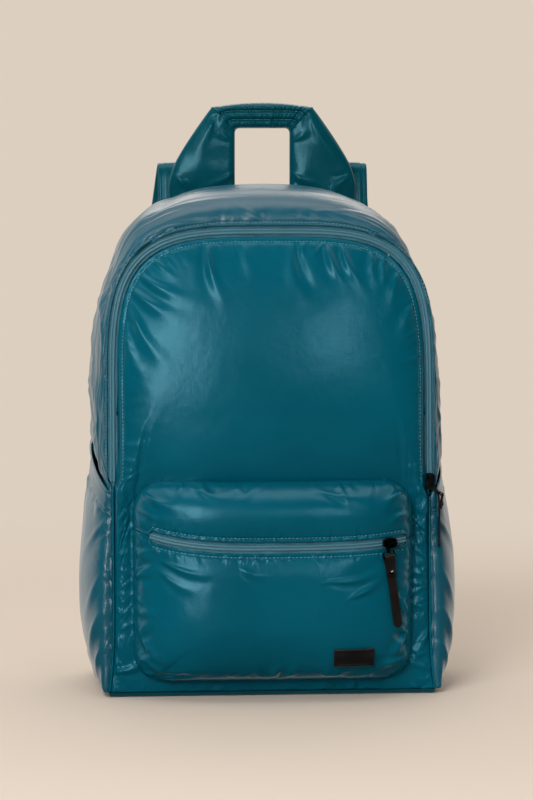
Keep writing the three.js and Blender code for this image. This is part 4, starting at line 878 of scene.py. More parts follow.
def pocket_zip_height(share):
    rise = np.where(share < 0, POCKET_ZIP_RISE_LEFT, POCKET_ZIP_RISE_RIGHT)
    return POCKET_ZIP_HEIGHT + rise * np.abs(share) ** 3


def pocket_shares(columns):
    even = np.linspace(-1, 1, columns)
    return np.sign(even) * (1 - (1 - np.abs(even)) ** 1.8)


def pocket_zip_half_room(share):
    """The zip's opening closes over the ends of its tape, further in on the left."""
    end = np.where(share < 0, 0.87, 0.93)
    return lerp(ZIP_HALF_WIDTH, SEAM_GAP / 2, smoothstep(np.abs(share), end, end + 0.03))


LOWER_CREASES = [
    # x0, z0, x1, z1, width, height
    (-96, 121, -52, 110, 2.4, 2.0),
    (-98, 112, -70, 96, 2.6, 1.4),
    (46, 104, 92, 112, 2.2, 2.2),
    (64, 90, 94, 108, 2.6, 1.9),
    (-30, 116, -8, 108, 2.4, 1.2),
    (-116, 60, -92, 28, 3.4, 2.2),
    (-112, 36, -84, 20, 2.8, 2.0),
    (-100, 24, -60, 22, 2.6, -1.6),
    (116, 56, 100, 30, 3.0, 2.0),
    (110, 34, 82, 22, 2.6, 2.0),
    (116, 96, 112, 70, 2.6, 1.4),
]
UPPER_CREASES = [
    # x0, z0, x1, z1, width, height
    (-112, 178, -86, 168, 2.6, 2.2),
    (-116, 164, -94, 156, 2.4, 1.8),
    (-70, 184, -40, 176, 2.6, 1.0),
    (112, 178, 92, 166, 2.6, 2.0),
    (114, 160, 96, 150, 2.4, 1.6),
    (40, 180, 84, 176, 3.0, 1.2),
]


def pocket_sheet(rows, columns, is_lower):
    share = pocket_shares(columns)[None, :]
    t = np.linspace(0, 1, rows)[:, None]
    if is_lower:
        low, high = POCKET_FOOT + 0 * share, pocket_zip_height(share) - pocket_zip_half_room(share)
        z = lerp(low, high, t**1.5)
        from_zip, from_end = high - z, z - POCKET_FOOT
    else:
        low, high = pocket_zip_height(share) + pocket_zip_half_room(share), POCKET_TOP + 0 * share
        z = lerp(low, high, 1 - (1 - t) ** 1.7)
        from_zip, from_end = z - low, POCKET_TOP - z
    grid = pocket_point(share, z)
    from_sides = pocket_half_width_at(z) - np.abs(grid[..., 0])
    return grid, from_zip, from_sides, from_end


def softened(values):
    """Each value of a grid averaged with its neighbours."""
    wide = np.pad(values, ((1, 1), (1, 1), (0, 0)), mode="edge")
    return (wide[1:-1, 1:-1] + wide[:-2, 1:-1] + wide[2:, 1:-1] + wide[1:-1, :-2] + wide[1:-1, 2:]) / 5


def smooth_least(*values):
    """The least of the values, without a kink where two of them meet."""
    blur = 7
    return -blur * np.log(sum(np.exp(-value / blur) for value in values))


def pocket_shift(rows, columns, is_lower):
    sheet, from_zip, from_sides, from_end = pocket_sheet(rows, columns, is_lower)
    away = np.maximum(smooth_least(from_zip, from_sides, from_end), 0)
    slack = np.clip(0.3 + 0.7 * bump_at(away, 0, 22), 0, 1)
    pinned = edge_mask(away.shape)
    return cloth_shift(sheet, FRONTWARDS, pinned, slack, pressure=250, growth=0.07, most=5)


def pocket_panel(name, seed, is_lower, table):
    rng = np.random.default_rng(seed)
    rows, columns = (145, 301) if is_lower else (89, 301)
    grid, from_zip, from_sides, from_end = pocket_sheet(rows, columns, is_lower)
    coarse = (44, 96) if is_lower else (26, 96)
    grid = grid + finer(softened(softened(pocket_shift(*coarse, is_lower))), rows, columns)
    if is_lower:
        inside = (1 - bump_at(from_sides, 0, 12)) * (1 - bump_at(from_end, 0, 12))
        grid[..., 1] += POCKET_PULL_IN * inside
    else:
        up = from_end / (from_end + from_zip)
        inside = 1 - (grid[..., 0] / POCKET_HALF_WIDTH) ** 4
        grid[..., 1] -= POCKET_CROWN * np.sin(math.pi * up) * inside
    x, z = grid[..., 0], grid[..., 2]
    height = puckers(rng, x, from_zip, (-118, 118), "pocket_zip")
    side_run = np.where(x < 0, z, z + 500)
    for start in (0, 500):
        span = (start + POCKET_FOOT, start + POCKET_TOP)
        height += puckers(rng, side_run, from_sides, span, "pocket_sides")
    height += puckers(rng, x, from_end, (-120, 120), "pocket_ends")
    height += creases(x, z, table)
    height *= np.minimum(from_sides / 5, 1) * np.minimum(from_end / 5, 1) * np.minimum(from_zip / 4, 1)
    height += stitched_edge(from_zip) * smoothstep(from_sides, 4, 12)
    normal = grid_normals(grid, FRONTWARDS)
    grid = grid + normal * height[..., None]
    stitch_along(grid, normal, x, from_zip, STITCH_PLACE, (-104, 112))
    return wall_object(name, grid, PANEL_THICKNESS, FRONTWARDS, NYLON)


# The side pockets


SIDE_POCKET_TRIM = {-1: 4.5, 1: 3.2}


def side_pocket_sheet(side, rows, columns):
    """A side pocket's face, which stands off the side wall: its points and their normals, and how far
    each is from the side seams and from the hem."""
    wall, _, _ = side_wall_sheet(1200, 129)
    half = wall[:600] if side < 0 else wall[:599:-1]
    across = np.linspace(0, 1, columns)[None, :]
    up = np.linspace(0, 1, rows)[:, None]
    depth = 0.6 * (0.5 - 0.5 * np.cos(math.pi * across)) + 0.4 * across
    hem = hem_height(depth)
    z = lerp(WALL_FOOT + CLEARANCE, hem, up)
    places = np.linspace(0, 1, half.shape[1])
    lines = [[np.interp(depth[0], places, line[:, k]) for k in range(3)] for line in half]
    columns_of = np.moveaxis(np.array(lines), 1, 2)
    face = np.empty((rows, columns, 3))
    for c in range(columns):
        rising = np.maximum.accumulate(columns_of[:, c, 2] + 1e-6 * np.arange(len(half)))
        face[:, c, 0] = np.interp(z[:, c], rising, columns_of[:, c, 0])
        face[:, c, 1] = np.interp(z[:, c], rising, columns_of[:, c, 1])
        face[:, c, 2] = z[:, c]
    normal = grid_normals(face, face - MIDDLE)
    normal[..., 2] = 0
    normal = unit(normal)
    belly = np.clip(np.sin(math.pi * depth), 0, 1) ** lerp(0.8, 2, smoothstep(up, 0.6, 1))
    from_foot = 1 - (1 - np.clip(up / 0.4, 0, 1)) ** 3
    slack = lerp(SIDE_POCKET_SLACK, 0.5 * SIDE_POCKET_MOUTH, smoothstep(up, 0.4, 1))
    from_edge = np.minimum(depth, 1 - depth) * SIDE_WALL_ARC
    full_stand = lerp(1.5 * CLEARANCE + SIDE_POCKET_WALL, 1.9, smoothstep(up, 0.75, 0.95))
    stand = lerp(0.3, full_stand, smoothstep(from_edge, 0, 12))
    gap = stand + (slack - SIDE_POCKET_TRIM[side] * (1 - up)) * from_foot * belly
    from_hem = (hem - z) + 0 * face[..., 0]
    return face + normal * gap[..., None], normal, from_edge + 0 * from_hem, from_hem


SIDE_POCKET_CREASES = [
    # y0, z0, y1, z1, width, height
    (-64, 70, -30, 22, 4.5, 2.2),
    (-66, 40, -44, 10, 3.4, 1.8),
    (-62, 104, -34, 62, 4.0, 1.4),
    (-58, 150, -20, 118, 4.0, 1.3),
    (62, 74, 34, 26, 4.5, 1.8),
    (64, 40, 46, 12, 3.4, 1.5),
    (60, 176, 24, 140, 4.2, 1.4),
    (30, 28, -14, 16, 4.0, 1.5),
]


def side_pocket(name, side):
    rng = np.random.default_rng(41 if side < 0 else 42)
    rows, columns = 177, 121
    grid, normal, from_edge, from_hem = side_pocket_sheet(side, rows, columns)
    coarse = (48, 48)
    sheet, _, edge_coarse, hem_coarse = side_pocket_sheet(side, *coarse)
    slack = np.clip(0.3 + 0.7 * bump_at(edge_coarse, 0, 26), 0, 1)
    pinned = edge_mask(coarse) | (hem_coarse < 10)
    shift = cloth_shift(sheet, sheet - MIDDLE, pinned, slack, pressure=200, growth=0.06, most=4)
    grid = grid + finer(shift, rows, columns)
    y, z = grid[..., 1], grid[..., 2]
    front_run = np.where(y < 0, z, z + 500)
    height = puckers(rng, front_run, from_edge, (8, 170), "side_pocket_front")
    height += puckers(rng, front_run, from_edge, (508, 715), "side_pocket_back")
    height += puckers(rng, y, np.abs(from_hem - 20), (-70, 70), "side_pocket_hem")
    height += puckers(rng, y, z - WALL_FOOT, (-70, 70), "side_pocket_foot")
    height += creases(y, z, SIDE_POCKET_CREASES)
    band = 1 - smoothstep(from_hem, 17, 20)
    height *= (1 - 0.85 * band) * np.minimum(from_edge / 5, 1)
    height += 0.7 * band - 0.9 * bump_at(from_hem, 18.5, 1.0) - 0.6 * bump_at(from_hem, 3, 0.8)
    grid = grid + normal * height[..., None]
    stitch_along(grid, normal, y, from_hem, 17.6, (-60, 62))
    return wall_object(name, grid, SIDE_POCKET_THICKNESS, grid - MIDDLE, SIDE_NYLON)


# The handle

HANDLE_TOP = 512
HANDLE_OFFSET = 2
HANDLE_FOOT_DROP = 18
HANDLE_WINDOW_HALF_WIDTH = 24.5
HANDLE_FOOT_HALF_WIDTH = 84.5
HANDLE_CORNER_HALF_WIDTH = 42
HANDLE_WING_THICKNESS = 15
HANDLE_FOOT_THICKNESS = 4.5
GRIP_HEIGHT = 23
GRIP_THICKNESS = 13
GRIP_ARCH = 4
GRIP_GAP = 0.1
HANDLE_FOOT_Y = BACK_SEAM_Y + BACK_PAD + CLEARANCE
HANDLE_MIDDLE_Y = HANDLE_FOOT_Y + HANDLE_FOOT_THICKNESS / 2
HANDLE_CORNER_TOP = HANDLE_TOP - GRIP_ARCH
HANDLE_FOOT_OUTER = BACK.top_at(HANDLE_FOOT_HALF_WIDTH, 0) - HANDLE_FOOT_DROP
HANDLE_FOOT_INNER = BACK.top_at(HANDLE_WINDOW_HALF_WIDTH, 0) - HANDLE_FOOT_DROP
WING_ROWS = np.array(
    [
        # rise, spread, thickness
        (0, 1, 0),
        (0.2, 1, 0.04),
        (0.32, 0.98, 0.4),
        (0.43, 0.99, 0.85),
        (0.56, 0.88, 1),
        (0.7, 0.66, 0.95),
        (0.84, 0.4, 0.85),
        (0.95, 0.18, 0.75),
        (1, 0.07, 0.7),
    ]
)
WING_CREASES = [
    # x0, z0, x1, z1, width, height
    (24, 438, 80, 428, 3.6, 2.6),
    (30, 430, 84, 420, 3.2, -2.0),
    (26, 449, 52, 437, 3.0, 1.8),
    (78, 446, 62, 430, 3.0, 1.6),
    (44, 498, 60, 470, 3.0, 1.3),
    (28, 478, 44, 492, 2.6, 1.2),
]


def wing_edges(rise, spread):
    """Across a wing: how far out its outer edge is, and the heights of that edge and the window's."""
    outer_x = lerp(HANDLE_CORNER_HALF_WIDTH, HANDLE_FOOT_HALF_WIDTH, spread)
    outer_z = lerp(HANDLE_FOOT_OUTER, HANDLE_CORNER_TOP, rise)
    inner_z = lerp(HANDLE_FOOT_INNER, HANDLE_CORNER_TOP - GRIP_HEIGHT, rise)
    return outer_x, outer_z, inner_z


def handle_wing(name, side):
    rng = np.random.default_rng(51 if side < 0 else 52)
    rise, spread, thick = (column[:, None] for column in smooth_columns(WING_ROWS, 110).T)
    outer_x, outer_z, inner_z = wing_edges(rise, spread)
    angle = circle(96)[None, :]
    inwards = (rounded(np.cos(angle), 0.75) + 1) / 2
    section = rounded(np.sin(angle), 0.8)
    x = lerp(outer_x, HANDLE_WINDOW_HALF_WIDTH, inwards)
    z = lerp(outer_z, inner_z, inwards)
    full = lerp(HANDLE_FOOT_THICKNESS, HANDLE_WING_THICKNESS, np.clip(thick, 0, 1))
    above_foot = z - HANDLE_FOOT_OUTER
    folds = puckers(rng, x, np.abs(above_foot - 34), (20, 90), "wing_foot")
    folds += puckers(rng, x, np.abs(HANDLE_CORNER_TOP - 6 - z), (20, 60), "wing_top")
    folds += 0.5 * waves(rng, np.stack([x, z], -1), 34)
    folds += creases(x, z, WING_CREASES)
    folds *= smoothstep(above_foot, 20, 34)
    y = HANDLE_MIDDLE_Y + section * (full / 2 + folds * 0.9)
    return tube_object(name, np.stack([side * x + HANDLE_OFFSET, y, z], -1), SHADED_NYLON)


def handle_grip():
    """Three stitched channels between the wings. Its ends run a little way into them."""
    rng = np.random.default_rng(31)
    corner_x, outer_z, inner_z = wing_edges(*WING_ROWS[-1, :2])
    half_count = 60
    share = np.linspace(-1.025, 1.025, 200)[:, None]
    up = np.linspace(0, 1, half_count)
    up = np.concatenate([up, up[::-1]])[None, :]
    sign = np.repeat([-1.0, 1.0], half_count)[None, :]
    envelope = np.clip(1 - np.abs(2 * up - 1) ** 3.2, 0, 1) ** 0.45
    channels = 0.3 + 0.7 * np.abs(np.sin(3 * math.pi * up)) ** 0.5
    from_channel = np.abs((3 * up) % 1 - 0.5) * 8
    gather = puckers(rng, 48 * share + 0 * up, from_channel, (-48, 48), "grip")
    out = GRIP_THICKNESS / 2 * envelope * channels + gather * envelope
    end_x = lerp(HANDLE_WINDOW_HALF_WIDTH, corner_x, up)
    middle_z = HANDLE_TOP - GRIP_HEIGHT * (1 - up)
    end_z = lerp(inner_z, outer_z, up) + GRIP_GAP
    z = lerp(middle_z, end_z, np.abs(share) ** lerp(26, 2, up))
    y = HANDLE_MIDDLE_Y + sign * out
    y = lerp(y, HANDLE_MIDDLE_Y, 0.35 * smoothstep(np.abs(share), 0.99, 1.02))
    loops = np.stack([share * end_x + HANDLE_OFFSET, y, z], -1)
    for row in (2, 20, 40):
        centres = loops[8:-8:7, row]
        facings = np.tile([0, -1.0, 0], (len(centres), 1))
        STITCHES.append((centres, unit(np.gradient(centres, axis=0)), facings))
    return tube_object("shell_handle_grip", loops, SHADED_NYLON)


# Shoulder straps

STRAP_WIDTH = 60
STRAP_THICKNESS = 12
STRAP_FOOT_THICKNESS = 4
STRAP_LOOP_TOP = 456
STRAP_END_HEIGHT = 138
STRAP_TOP_X = {-1: 61, 1: 68}
STRAP_END_X = 90
STRAP_BOW = 46
STRAP_FOOT_Y = HANDLE_FOOT_Y + HANDLE_FOOT_THICKNESS + CLEARANCE
STRAP_ROWS = np.array(
    [
        # height, outwards, bow, padding
        (0.835, 0, 0, 0),
        (0.93, 0, 0.12, 0.1),
        (0.985, 0, 0.22, 0.1),
        (1, 0, 0.36, 0.1),
        (0.975, 0.03, 0.5, 0.2),
        (0.88, 0.16, 0.7, 0.7),
        (0.72, 0.4, 0.9, 1),
        (0.5, 0.7, 1, 1),
        (0.3, 0.9, 0.84, 1),
        (0.12, 0.98, 0.56, 0.8),
        (0, 1, 0.4, 0.2),
    ]
)


def shoulder_strap(name, side):
    rng = np.random.default_rng(61 if side < 0 else 62)
    steps = 260
    height, outwards, bow, padding = smooth_columns(STRAP_ROWS, steps).T
    x = side * lerp(STRAP_TOP_X[side], STRAP_END_X, outwards)
    y = STRAP_FOOT_Y + STRAP_FOOT_THICKNESS / 2 + bow * STRAP_BOW
    z = lerp(STRAP_END_HEIGHT, STRAP_LOOP_TOP, height)
    path = np.stack([x, y, z], -1)
    tangent = unit(np.gradient(path, axis=0))
    sideways = unit(np.array([1.0, 0, 0]) - tangent * tangent[:, :1])
    face = np.cross(sideways, tangent)
    run = run_along(path)
    half = STRAP_WIDTH / 2 * lerp(1, 0.72, smoothstep(np.linspace(0, 1, steps), 0.8, 1))[:, None]
    padded = np.clip(padding, 0, 1)[:, None]
    thick = lerp(STRAP_FOOT_THICKNESS, STRAP_THICKNESS, padded)
    angle = circle(72)[None, :]
    across = rounded(np.cos(angle), 0.6)
    section = rounded(np.sin(angle), 0.7)
    from_edge = (1 - np.abs(across)) * half
    folds = puckers(rng, run[:, None] + 0 * from_edge, from_edge, (0, run[-1]), "strap")
    out = section * (thick / 2 + folds * padded - 0.8 * bump_at(from_edge, 4, 1))
    spine, sideways, face = path[:, None], sideways[:, None], face[:, None]
    loops = spine + sideways * (across * half)[..., None] + face * out[..., None]
    return tube_object(name, loops, SHADED_NYLON)


# Zips, patch and stitches


def main_zip_path():
    start = 0.5 * zip_run_start() / FRONT.length
    place = np.linspace(start, 1 - start, 700)
    x, y, z = front_seam_point(place, 0)
    return np.stack([x, y, z], -1)


POCKET_ZIP_SPAN = (-0.885, 0.945)


def pocket_zip_path():
    share = np.linspace(*POCKET_ZIP_SPAN, 260)
    return pocket_point(share, pocket_zip_height(share))


COIL_RIB = [
    # across, height
    (-2.3, -0.75),
    (-2.3, 0.1),
    (-1.95, 0.5),
    (-1.35, 0.72),
    (-0.75, 0.5),
    (-0.3, 0.05),
    (0, -0.45),
    (0.3, 0.05),
    (0.75, 0.5),
    (1.35, 0.72),
    (1.95, 0.5),
    (2.3, 0.1),
    (2.3, -0.75),
]


COIL_PITCH = 0.75
COIL_BACK = ZIP_RECESS - CLEARANCE - COIL_HEIGHT / 2


def zip_coil(name, path):
    """Two ribs of fine teeth that meet in a groove, swept along a path at the cloth's face."""
    run = run_along(path)
    places = np.arange(0, run[-1], COIL_PITCH)
    centres = np.stack([np.interp(places, run, path[:, k]) for k in range(3)], -1)
    tangent = unit(np.gradient(centres, axis=0))
    across = unit(np.cross(tangent, np.array([0, 1.0, 0])))
    facing = np.cross(across, tangent)
    facing *= np.sign(-facing[:, 1:2])
    rib = np.array(COIL_RIB)
    tooth = np.where(np.arange(len(places)) % 2, 0.0, 0.16)[:, None] * (rib[:, 1] > 0.3)[None, :]
    lift = rib[None, :, 1] - tooth - COIL_BACK
    loops = centres[:, None] + across[:, None] * rib[None, :, 0, None] + facing[:, None] * lift[..., None]
    return tube_object(name, loops, COIL)


TAB_LOOP = 1.97
TAB_HALF_THICKNESS = 0.65
TAB_CLOSED = 0.66
TAB_LOOP_LENGTH = 8
TAB_FLAP_SHARE = 0.28
TAB_HALF_WIDTH = 4.9
TAB_TAIL_HALF_WIDTH = 4.2


def tab_profile(length):
    """A side view of the folded strip: up the flap, round the link's bar and down the tail."""
    flap = TAB_FLAP_SHARE * length
    heights = flap * np.linspace(1, 0, 12)
    profile = [(TAB_CLOSED, height) for height in heights if height > TAB_LOOP_LENGTH]
    for share in (0, 0.25, 0.5, 0.75):
        profile.append((lerp(TAB_CLOSED, TAB_LOOP, share), TAB_LOOP_LENGTH * (1 - share)))
    for angle in np.linspace(0, math.pi, 13):
        profile.append((TAB_LOOP * math.cos(angle), -TAB_LOOP * math.sin(angle)))
    for share in (0.25, 0.5, 0.75, 1):
        profile.append((-lerp(TAB_LOOP, TAB_CLOSED, share), TAB_LOOP_LENGTH * share))
    for share in np.linspace(0, 1, 42)[1:]:
        profile.append((-TAB_CLOSED, lerp(TAB_LOOP_LENGTH, length, share)))
    return np.array(profile)


def leather_tab(name, tab, rivet):
    """A strip of leather folded over the link's bar: a round flap in front, a tapering round tail behind."""
    points = np.array([v.co for v in nodes[tab].data.vertices]) / MM
    middle = (points.min(0) + points.max(0)) / 2
    _, _, axes = np.linalg.svd(points - points.mean(0))
    down = axes[0] if axes[0][2] < 0 else -axes[0]
    low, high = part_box(rivet)
    front = (np.array(low) + np.array(high)) / 2 / MM - middle
    front -= down * front.dot(down)
    side = unit(axes[1] - down * axes[1].dot(down))
    front = unit(front - side * front.dot(side))
    along, across, thick = points @ down, points @ side, points @ front
    from_end = TAB_LOOP + TAB_HALF_THICKNESS
    bar = down * (along.min() + from_end)
    bar = bar + side * (across.min() + across.max()) / 2 + front * (thick.max() - from_end)
    profile = tab_profile(along.max() - along.min() - from_end)
    run = run_along(profile)
    half = lerp(TAB_HALF_WIDTH, TAB_TAIL_HALF_WIDTH, smoothstep(run, run[-1] * 0.3, run[-1] * 0.6))
    for from_tip in (run, run[-1] - run):
        inside = np.clip(1 - (1 - from_tip / TAB_TAIL_HALF_WIDTH) ** 2, 0, 1)
        half = half * np.where(from_tip < TAB_TAIL_HALF_WIDTH, np.maximum(np.sqrt(inside), 0.12), 1)
    tangent = unit(np.gradient(profile, axis=0))
    outer = np.stack([tangent[:, 1], -tangent[:, 0]], -1)
    angle = circle(28)[None, :]
    wide = rounded(np.cos(angle), 0.35) * half[:, None]
    deep = 0.6 * rounded(np.sin(angle), 0.5) + 0 * wide
    deep = deep - 0.12 * np.sign(deep) * bump_at(np.abs(wide), half[:, None] - 0.9, 0.3)
    at = profile[:, None, :] + outer[:, None, :] * deep[..., None]
    loops = bar + front * at[..., 0:1] + down * at[..., 1:2] + side * wide[..., None]
    return tube_object(name, loops, LEATHER)


DOT_RADIUS = 1.05
DOT_RISE = 0.45


def rivet_dot(name, rivet):
    """The bright dome in the middle of a rivet's dark ring."""
    low, high = (np.array(corner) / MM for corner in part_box(rivet))
    faces_right = high[0] - low[0] < high[1] - low[1]
    base = (low + high) / 2
    if faces_right:
        out, base[0] = np.array([1.0, 0, 0]), high[0]
    else:
        out, base[1] = np.array([0, -1.0, 0]), low[1]
    first = np.array([0, 0, 1.0])
    second = np.cross(out, first)
    angle = circle(20)[:, None]
    loops = []
    for tilt in np.linspace(0, 1.4, 6):
        centre = base + out * (DOT_RISE * math.sin(tilt) - 0.1)
        ring = np.cos(angle) * first + np.sin(angle) * second
        loops.append(centre + DOT_RADIUS * math.cos(tilt) * ring)
    return tube_object(name, np.array(loops), STEEL)


PATCH_HALF_WIDTH = 17.5
PATCH_HALF_HEIGHT = 8
PATCH_CORNER = 1.6
PATCH_THICKNESS = 0.9


def label_patch():
    """A bare rectangle of leather with a raised border and round corners, laid on the pocket's face."""
    low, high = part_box("label_patch")
    middle_x, middle_z = (low[0] + high[0]) / 2 / MM, (low[2] + high[2]) / 2 / MM
    rows, columns = 41, 81
    u = np.linspace(-1, 1, columns)[None, :]
    v = np.linspace(-1, 1, rows)[:, None]
    x = u * PATCH_HALF_WIDTH + 0 * v
    z = v * PATCH_HALF_HEIGHT + 0 * u
    into_x = np.clip(np.abs(x) - (PATCH_HALF_WIDTH - PATCH_CORNER), 0, None)
    into_z = np.clip(np.abs(z) - (PATCH_HALF_HEIGHT - PATCH_CORNER), 0, None)
    reach = np.hypot(into_x, into_z)
    pull = np.where(reach > PATCH_CORNER, PATCH_CORNER / np.maximum(reach, 1e-6), 1)
    x = np.sign(x) * (np.abs(x) - into_x * (1 - pull))
    z = np.sign(z) * (np.abs(z) - into_z * (1 - pull))
    from_edge = np.minimum(PATCH_HALF_WIDTH - np.abs(x), PATCH_HALF_HEIGHT - np.abs(z))
    border = smoothstep(from_edge, 0, 0.8) * 0.5 + 0.35 * bump_at(from_edge, 1.5, 0.45)
    border -= 0.2 * smoothstep(from_edge, 2.0, 2.6)
    share = (x + middle_x) / pocket_half_width_at(z + middle_z)
    grid = pocket_point(share, z + middle_z)
    grid[..., 1] += (low[1] / MM - grid[..., 1].min()) + 0.25 - border
    return wall_object("patch", grid, PATCH_THICKNESS, FRONTWARDS, LEATHER)


STITCH_LENGTH = 2.3
STITCH_RADIUS = 0.3
STITCH_RINGS = [
    # along, size, lift
    (-0.5, 0.3, -0.1),
    (-0.25, 1, 0.12),
    (0.25, 1, 0.12),
    (0.5, 0.3, -0.1),
]


def stitch_rows(name, rows):
    """Short raised stitches along lists of points, tangents and outward normals."""
    points, faces = [], []
    sides = 5
    for centres, tangents, normals in rows:
        for centre, tangent, normal in zip(centres, tangents, normals):
            across = np.cross(tangent, normal)
            start = len(points)
            for along, size, lift in STITCH_RINGS:
                middle = centre + tangent * along * STITCH_LENGTH + normal * lift
                for angle in circle(sides):
                    offset = across * math.cos(angle) + normal * math.sin(angle)
                    points.append(middle + offset * STITCH_RADIUS * size)
            for ring in range(3):
                for k in range(sides):
                    a = start + ring * sides + k
                    b = start + ring * sides + (k + 1) % sides
                    faces.append((a, b, b + sides, a + sides))
            faces.append(tuple(start + k for k in range(sides))[::-1])
            faces.append(tuple(start + 3 * sides + k for k in range(sides)))
    return mesh_object(name, np.array(points), faces, THREAD)


# What is dressed


def dress(piece, *replaced, slot="nylon", fill=None):
    """Hangs a piece on the root body and hides the nodes it stands for. Its slot and fill are not used."""
    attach(piece, "root")
    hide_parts(*replaced)
    return piece


dress(side_wall(), "side_wall", fill=0.5)
dress(front_panel(), "front_panel", fill=0.5)
for word, side in SIDES.items():
    dress(seam_binding(f"shell_seam_{word}", side))
dress(back_panel(), "back_panel", fill=0.5)
dress(pocket_panel("shell_pocket_lower", 21, True, LOWER_CREASES), "pocket_lower_panel", fill=0.5)
dress(pocket_panel("shell_pocket_upper", 22, False, UPPER_CREASES), "pocket_upper_panel", fill=0.5)
for word, side in SIDES.items():
    dress(side_pocket(f"shell_side_pocket_{word}", side), f"side_pocket_{word}", fill=0.2)
for word, side in SIDES.items():
    dress(handle_wing(f"shell_handle_{word}", side), f"handle_wing_{word}", fill=0.5)
dress(handle_grip(), "handle_grip", fill=0.5)
for word, side in SIDES.items():
    dress(shoulder_strap(f"shell_strap_{word}", side), f"shoulder_strap_{word}", fill=0.5)
dress(zip_coil("teeth_main", main_zip_path()), "main_zip_coil", slot="coil")
dress(zip_coil("teeth_pocket", pocket_zip_path()), "pocket_zip_coil", slot="coil")
dress(label_patch(), "label_patch", slot="leather")
for word in ("pocket", "main"):
    tab = leather_tab(f"pull_{word}", f"{word}_puller", f"{word}_rivet")
    dress(tab, f"{word}_puller", slot="leather")
for word in ("pocket", "main"):
    dot = rivet_dot(f"dot_{word}", f"{word}_rivet")
    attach(dot, "root")
seams = stitch_rows("seam_stitches", STITCHES)
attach(seams, "root")

FINISHES = {
    LINING: ["base_panel"],
    WEBBING: ["strap_webbing_left", "strap_webbing_right"],
    NYLON: ["strap_anchor_left", "strap_anchor_right"],
    TAPE: ["main_zip_tape", "pocket_zip_tape"],
    METAL: ["main_slider", "main_link", "main_rivet", "pocket_slider", "pocket_link", "pocket_rivet"],
    PLASTIC: ["strap_adjuster_left", "strap_adjuster_right"],
}
for material, names in FINISHES.items():
    for name in names:
        mesh = nodes[name].data
        mesh.materials.clear()
        mesh.materials.append(material)


# Stage, light and camera


PAPER = (0.723, 0.624, 0.521)
FLOOR_SHARE = 0.77
FLOOR_TINT = (1, 1.02, 1.07)
FLOOR_FADE = {"From Min": 0.3, "From Max": 1.3}
# Radius and height of each ring, in metres
FLOOR_RINGS = [(0.02, 0.0), (0.6, 0.0), (2.0, 0.0), (7.0, 0.0)]
BACKDROP_RINGS = [(6.9, -0.05), (6.9, 9.0), (0.02, 12.0)]
ROOM_COLOUR = (1.0, 0.93, 0.86)
ROOM_TOWARDS = (0, 0.87, 0.5)
ROOM_FADE = {"From Min": -0.15, "From Max": 0.45, "To Min": 0.012, "To Max": 0.95}
LIGHT_TARGET = (0, 0, 0.25)
SOFTBOXES = [
    # name, azimuth, elevation, distance, size, power, colour, seen in reflections
    ("left_softbox", -19, 15, 2.6, (0.45, 1.5), 17, (1, 1, 1), True),
    ("right_softbox", 17, 19, 2.6, (0.3, 0.8), 4.5, (1, 1, 1), True),
    ("overhead", 0, 80, 2.4, (2.2, 1.2), 9, (1, 0.97, 0.93), True),
    ("fill", -26, 28, 3.4, (2.0, 1.6), 92, (1, 0.98, 0.95), False),
    ("behind", 172, 42, 3.2, (3.2, 1.6), 34, (1, 0.93, 0.86), True),
]
CAMERA_AZIMUTH = -4.5
CAMERA_ELEVATION = 5
CAMERA_DISTANCE = 3.0
CAMERA_TARGET = (0, 0, 0.251)
CAMERA_LENS = 153.3


def paper(name):
    """A material that glows in the backdrop's colour, with its glow and the socket for its surface."""
    material = bpy.data.materials.new(name)
    material.use_nodes = True
    material.node_tree.nodes.clear()
    surface = add_node(material, "OutputMaterial").inputs["Surface"]
    glow = add_node(material, "Emission", Color=(*PAPER, 1)).outputs[0]
    link(material, glow, surface)
    return material, glow, surface


def round_sheet(name, rings, material):
    angle = circle(96)
    loops = [np.stack([r * np.cos(angle), r * np.sin(angle), z + 0 * angle], -1) for r, z in rings]
    sheet = tube_object(name, np.array(loops) / MM, material, caps=False)
    sheet.visible_glossy = False
    return sheet


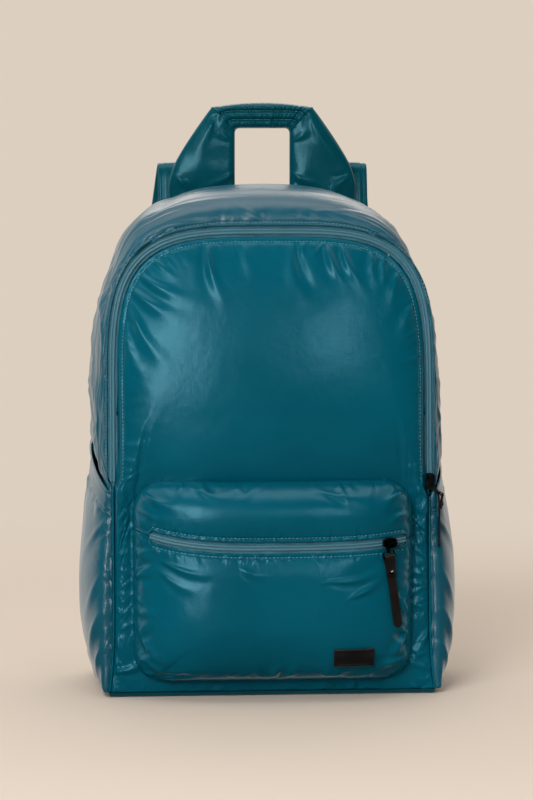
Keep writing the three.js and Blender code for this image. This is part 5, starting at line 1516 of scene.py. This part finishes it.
def stage():
    """A pale round floor that fades into a plain backdrop of the same colour all round."""
    material, glow, surface = paper("floor_paper")
    length = add_node(material, "VectorMath", operation="LENGTH")
    fade = add_node(material, "MapRange", interpolation_type="SMOOTHSTEP", **FLOOR_FADE)
    matt_colour = (FLOOR_SHARE * tint * c for tint, c in zip(FLOOR_TINT, PAPER))
    matt = add_node(material, "BsdfDiffuse", Color=(*matt_colour, 1))
    both = add_node(material, "MixShader")
    link(material, add_node(material, "TexCoord").outputs["Object"], length.inputs[0])
    link(material, length.outputs["Value"], fade.inputs["Value"])
    link(material, fade.outputs["Result"], both.inputs["Fac"])
    link(material, matt.outputs[0], both.inputs[1])
    link(material, glow, both.inputs[2])
    link(material, both.outputs[0], surface)
    round_sheet("floor", FLOOR_RINGS, material)
    backdrop = round_sheet("backdrop", BACKDROP_RINGS, paper("backdrop_paper")[0])
    backdrop.visible_diffuse = False
    backdrop.visible_shadow = False


def look_from(name, data, azimuth, elevation, distance, target):
    """Adds a light or a camera that looks at the target from a distance."""
    thing = bpy.data.objects.new(name, data)
    bpy.context.collection.objects.link(thing)
    a, e = math.radians(azimuth), math.radians(elevation)
    towards = (math.sin(a) * math.cos(e), -math.cos(a) * math.cos(e), math.sin(e))
    thing.location = [t + distance * d for t, d in zip(target, towards)]
    thing.rotation_euler = (Vector(target) - thing.location).to_track_quat("-Z", "Y").to_euler()
    return thing


def lights():
    """Softboxes, and a room that is dark in front and bright above and behind."""
    world = bpy.data.worlds.new("studio")
    bpy.context.scene.world = world
    world.use_nodes = True
    background = world.node_tree.nodes["Background"]
    background.inputs["Color"].default_value = (*ROOM_COLOUR, 1)
    towards = add_node(world, "VectorMath", operation="DOT_PRODUCT")
    towards.inputs[1].default_value = ROOM_TOWARDS
    ramp = add_node(world, "MapRange", interpolation_type="SMOOTHSTEP", **ROOM_FADE)
    link(world, add_node(world, "TexCoord").outputs["Generated"], towards.inputs[0])
    link(world, towards.outputs["Value"], ramp.inputs["Value"])
    link(world, ramp.outputs["Result"], background.inputs["Strength"])
    for name, azimuth, elevation, distance, size, power, colour, reflected in SOFTBOXES:
        light = bpy.data.lights.new(name, "AREA")
        light.shape = "RECTANGLE"
        light.size, light.size_y = size
        light.energy = power
        light.color = colour
        thing = look_from(name, light, azimuth, elevation, distance, LIGHT_TARGET)
        thing.visible_glossy = reflected


def camera():
    data = bpy.data.cameras.new("camera")
    data.sensor_width = 36
    data.lens = CAMERA_LENS
    place = (CAMERA_AZIMUTH, CAMERA_ELEVATION, CAMERA_DISTANCE)
    bpy.context.scene.camera = look_from("camera", data, *place, CAMERA_TARGET)


stage()
lights()
camera()
bpy.context.scene.view_settings.view_transform = "Standard"
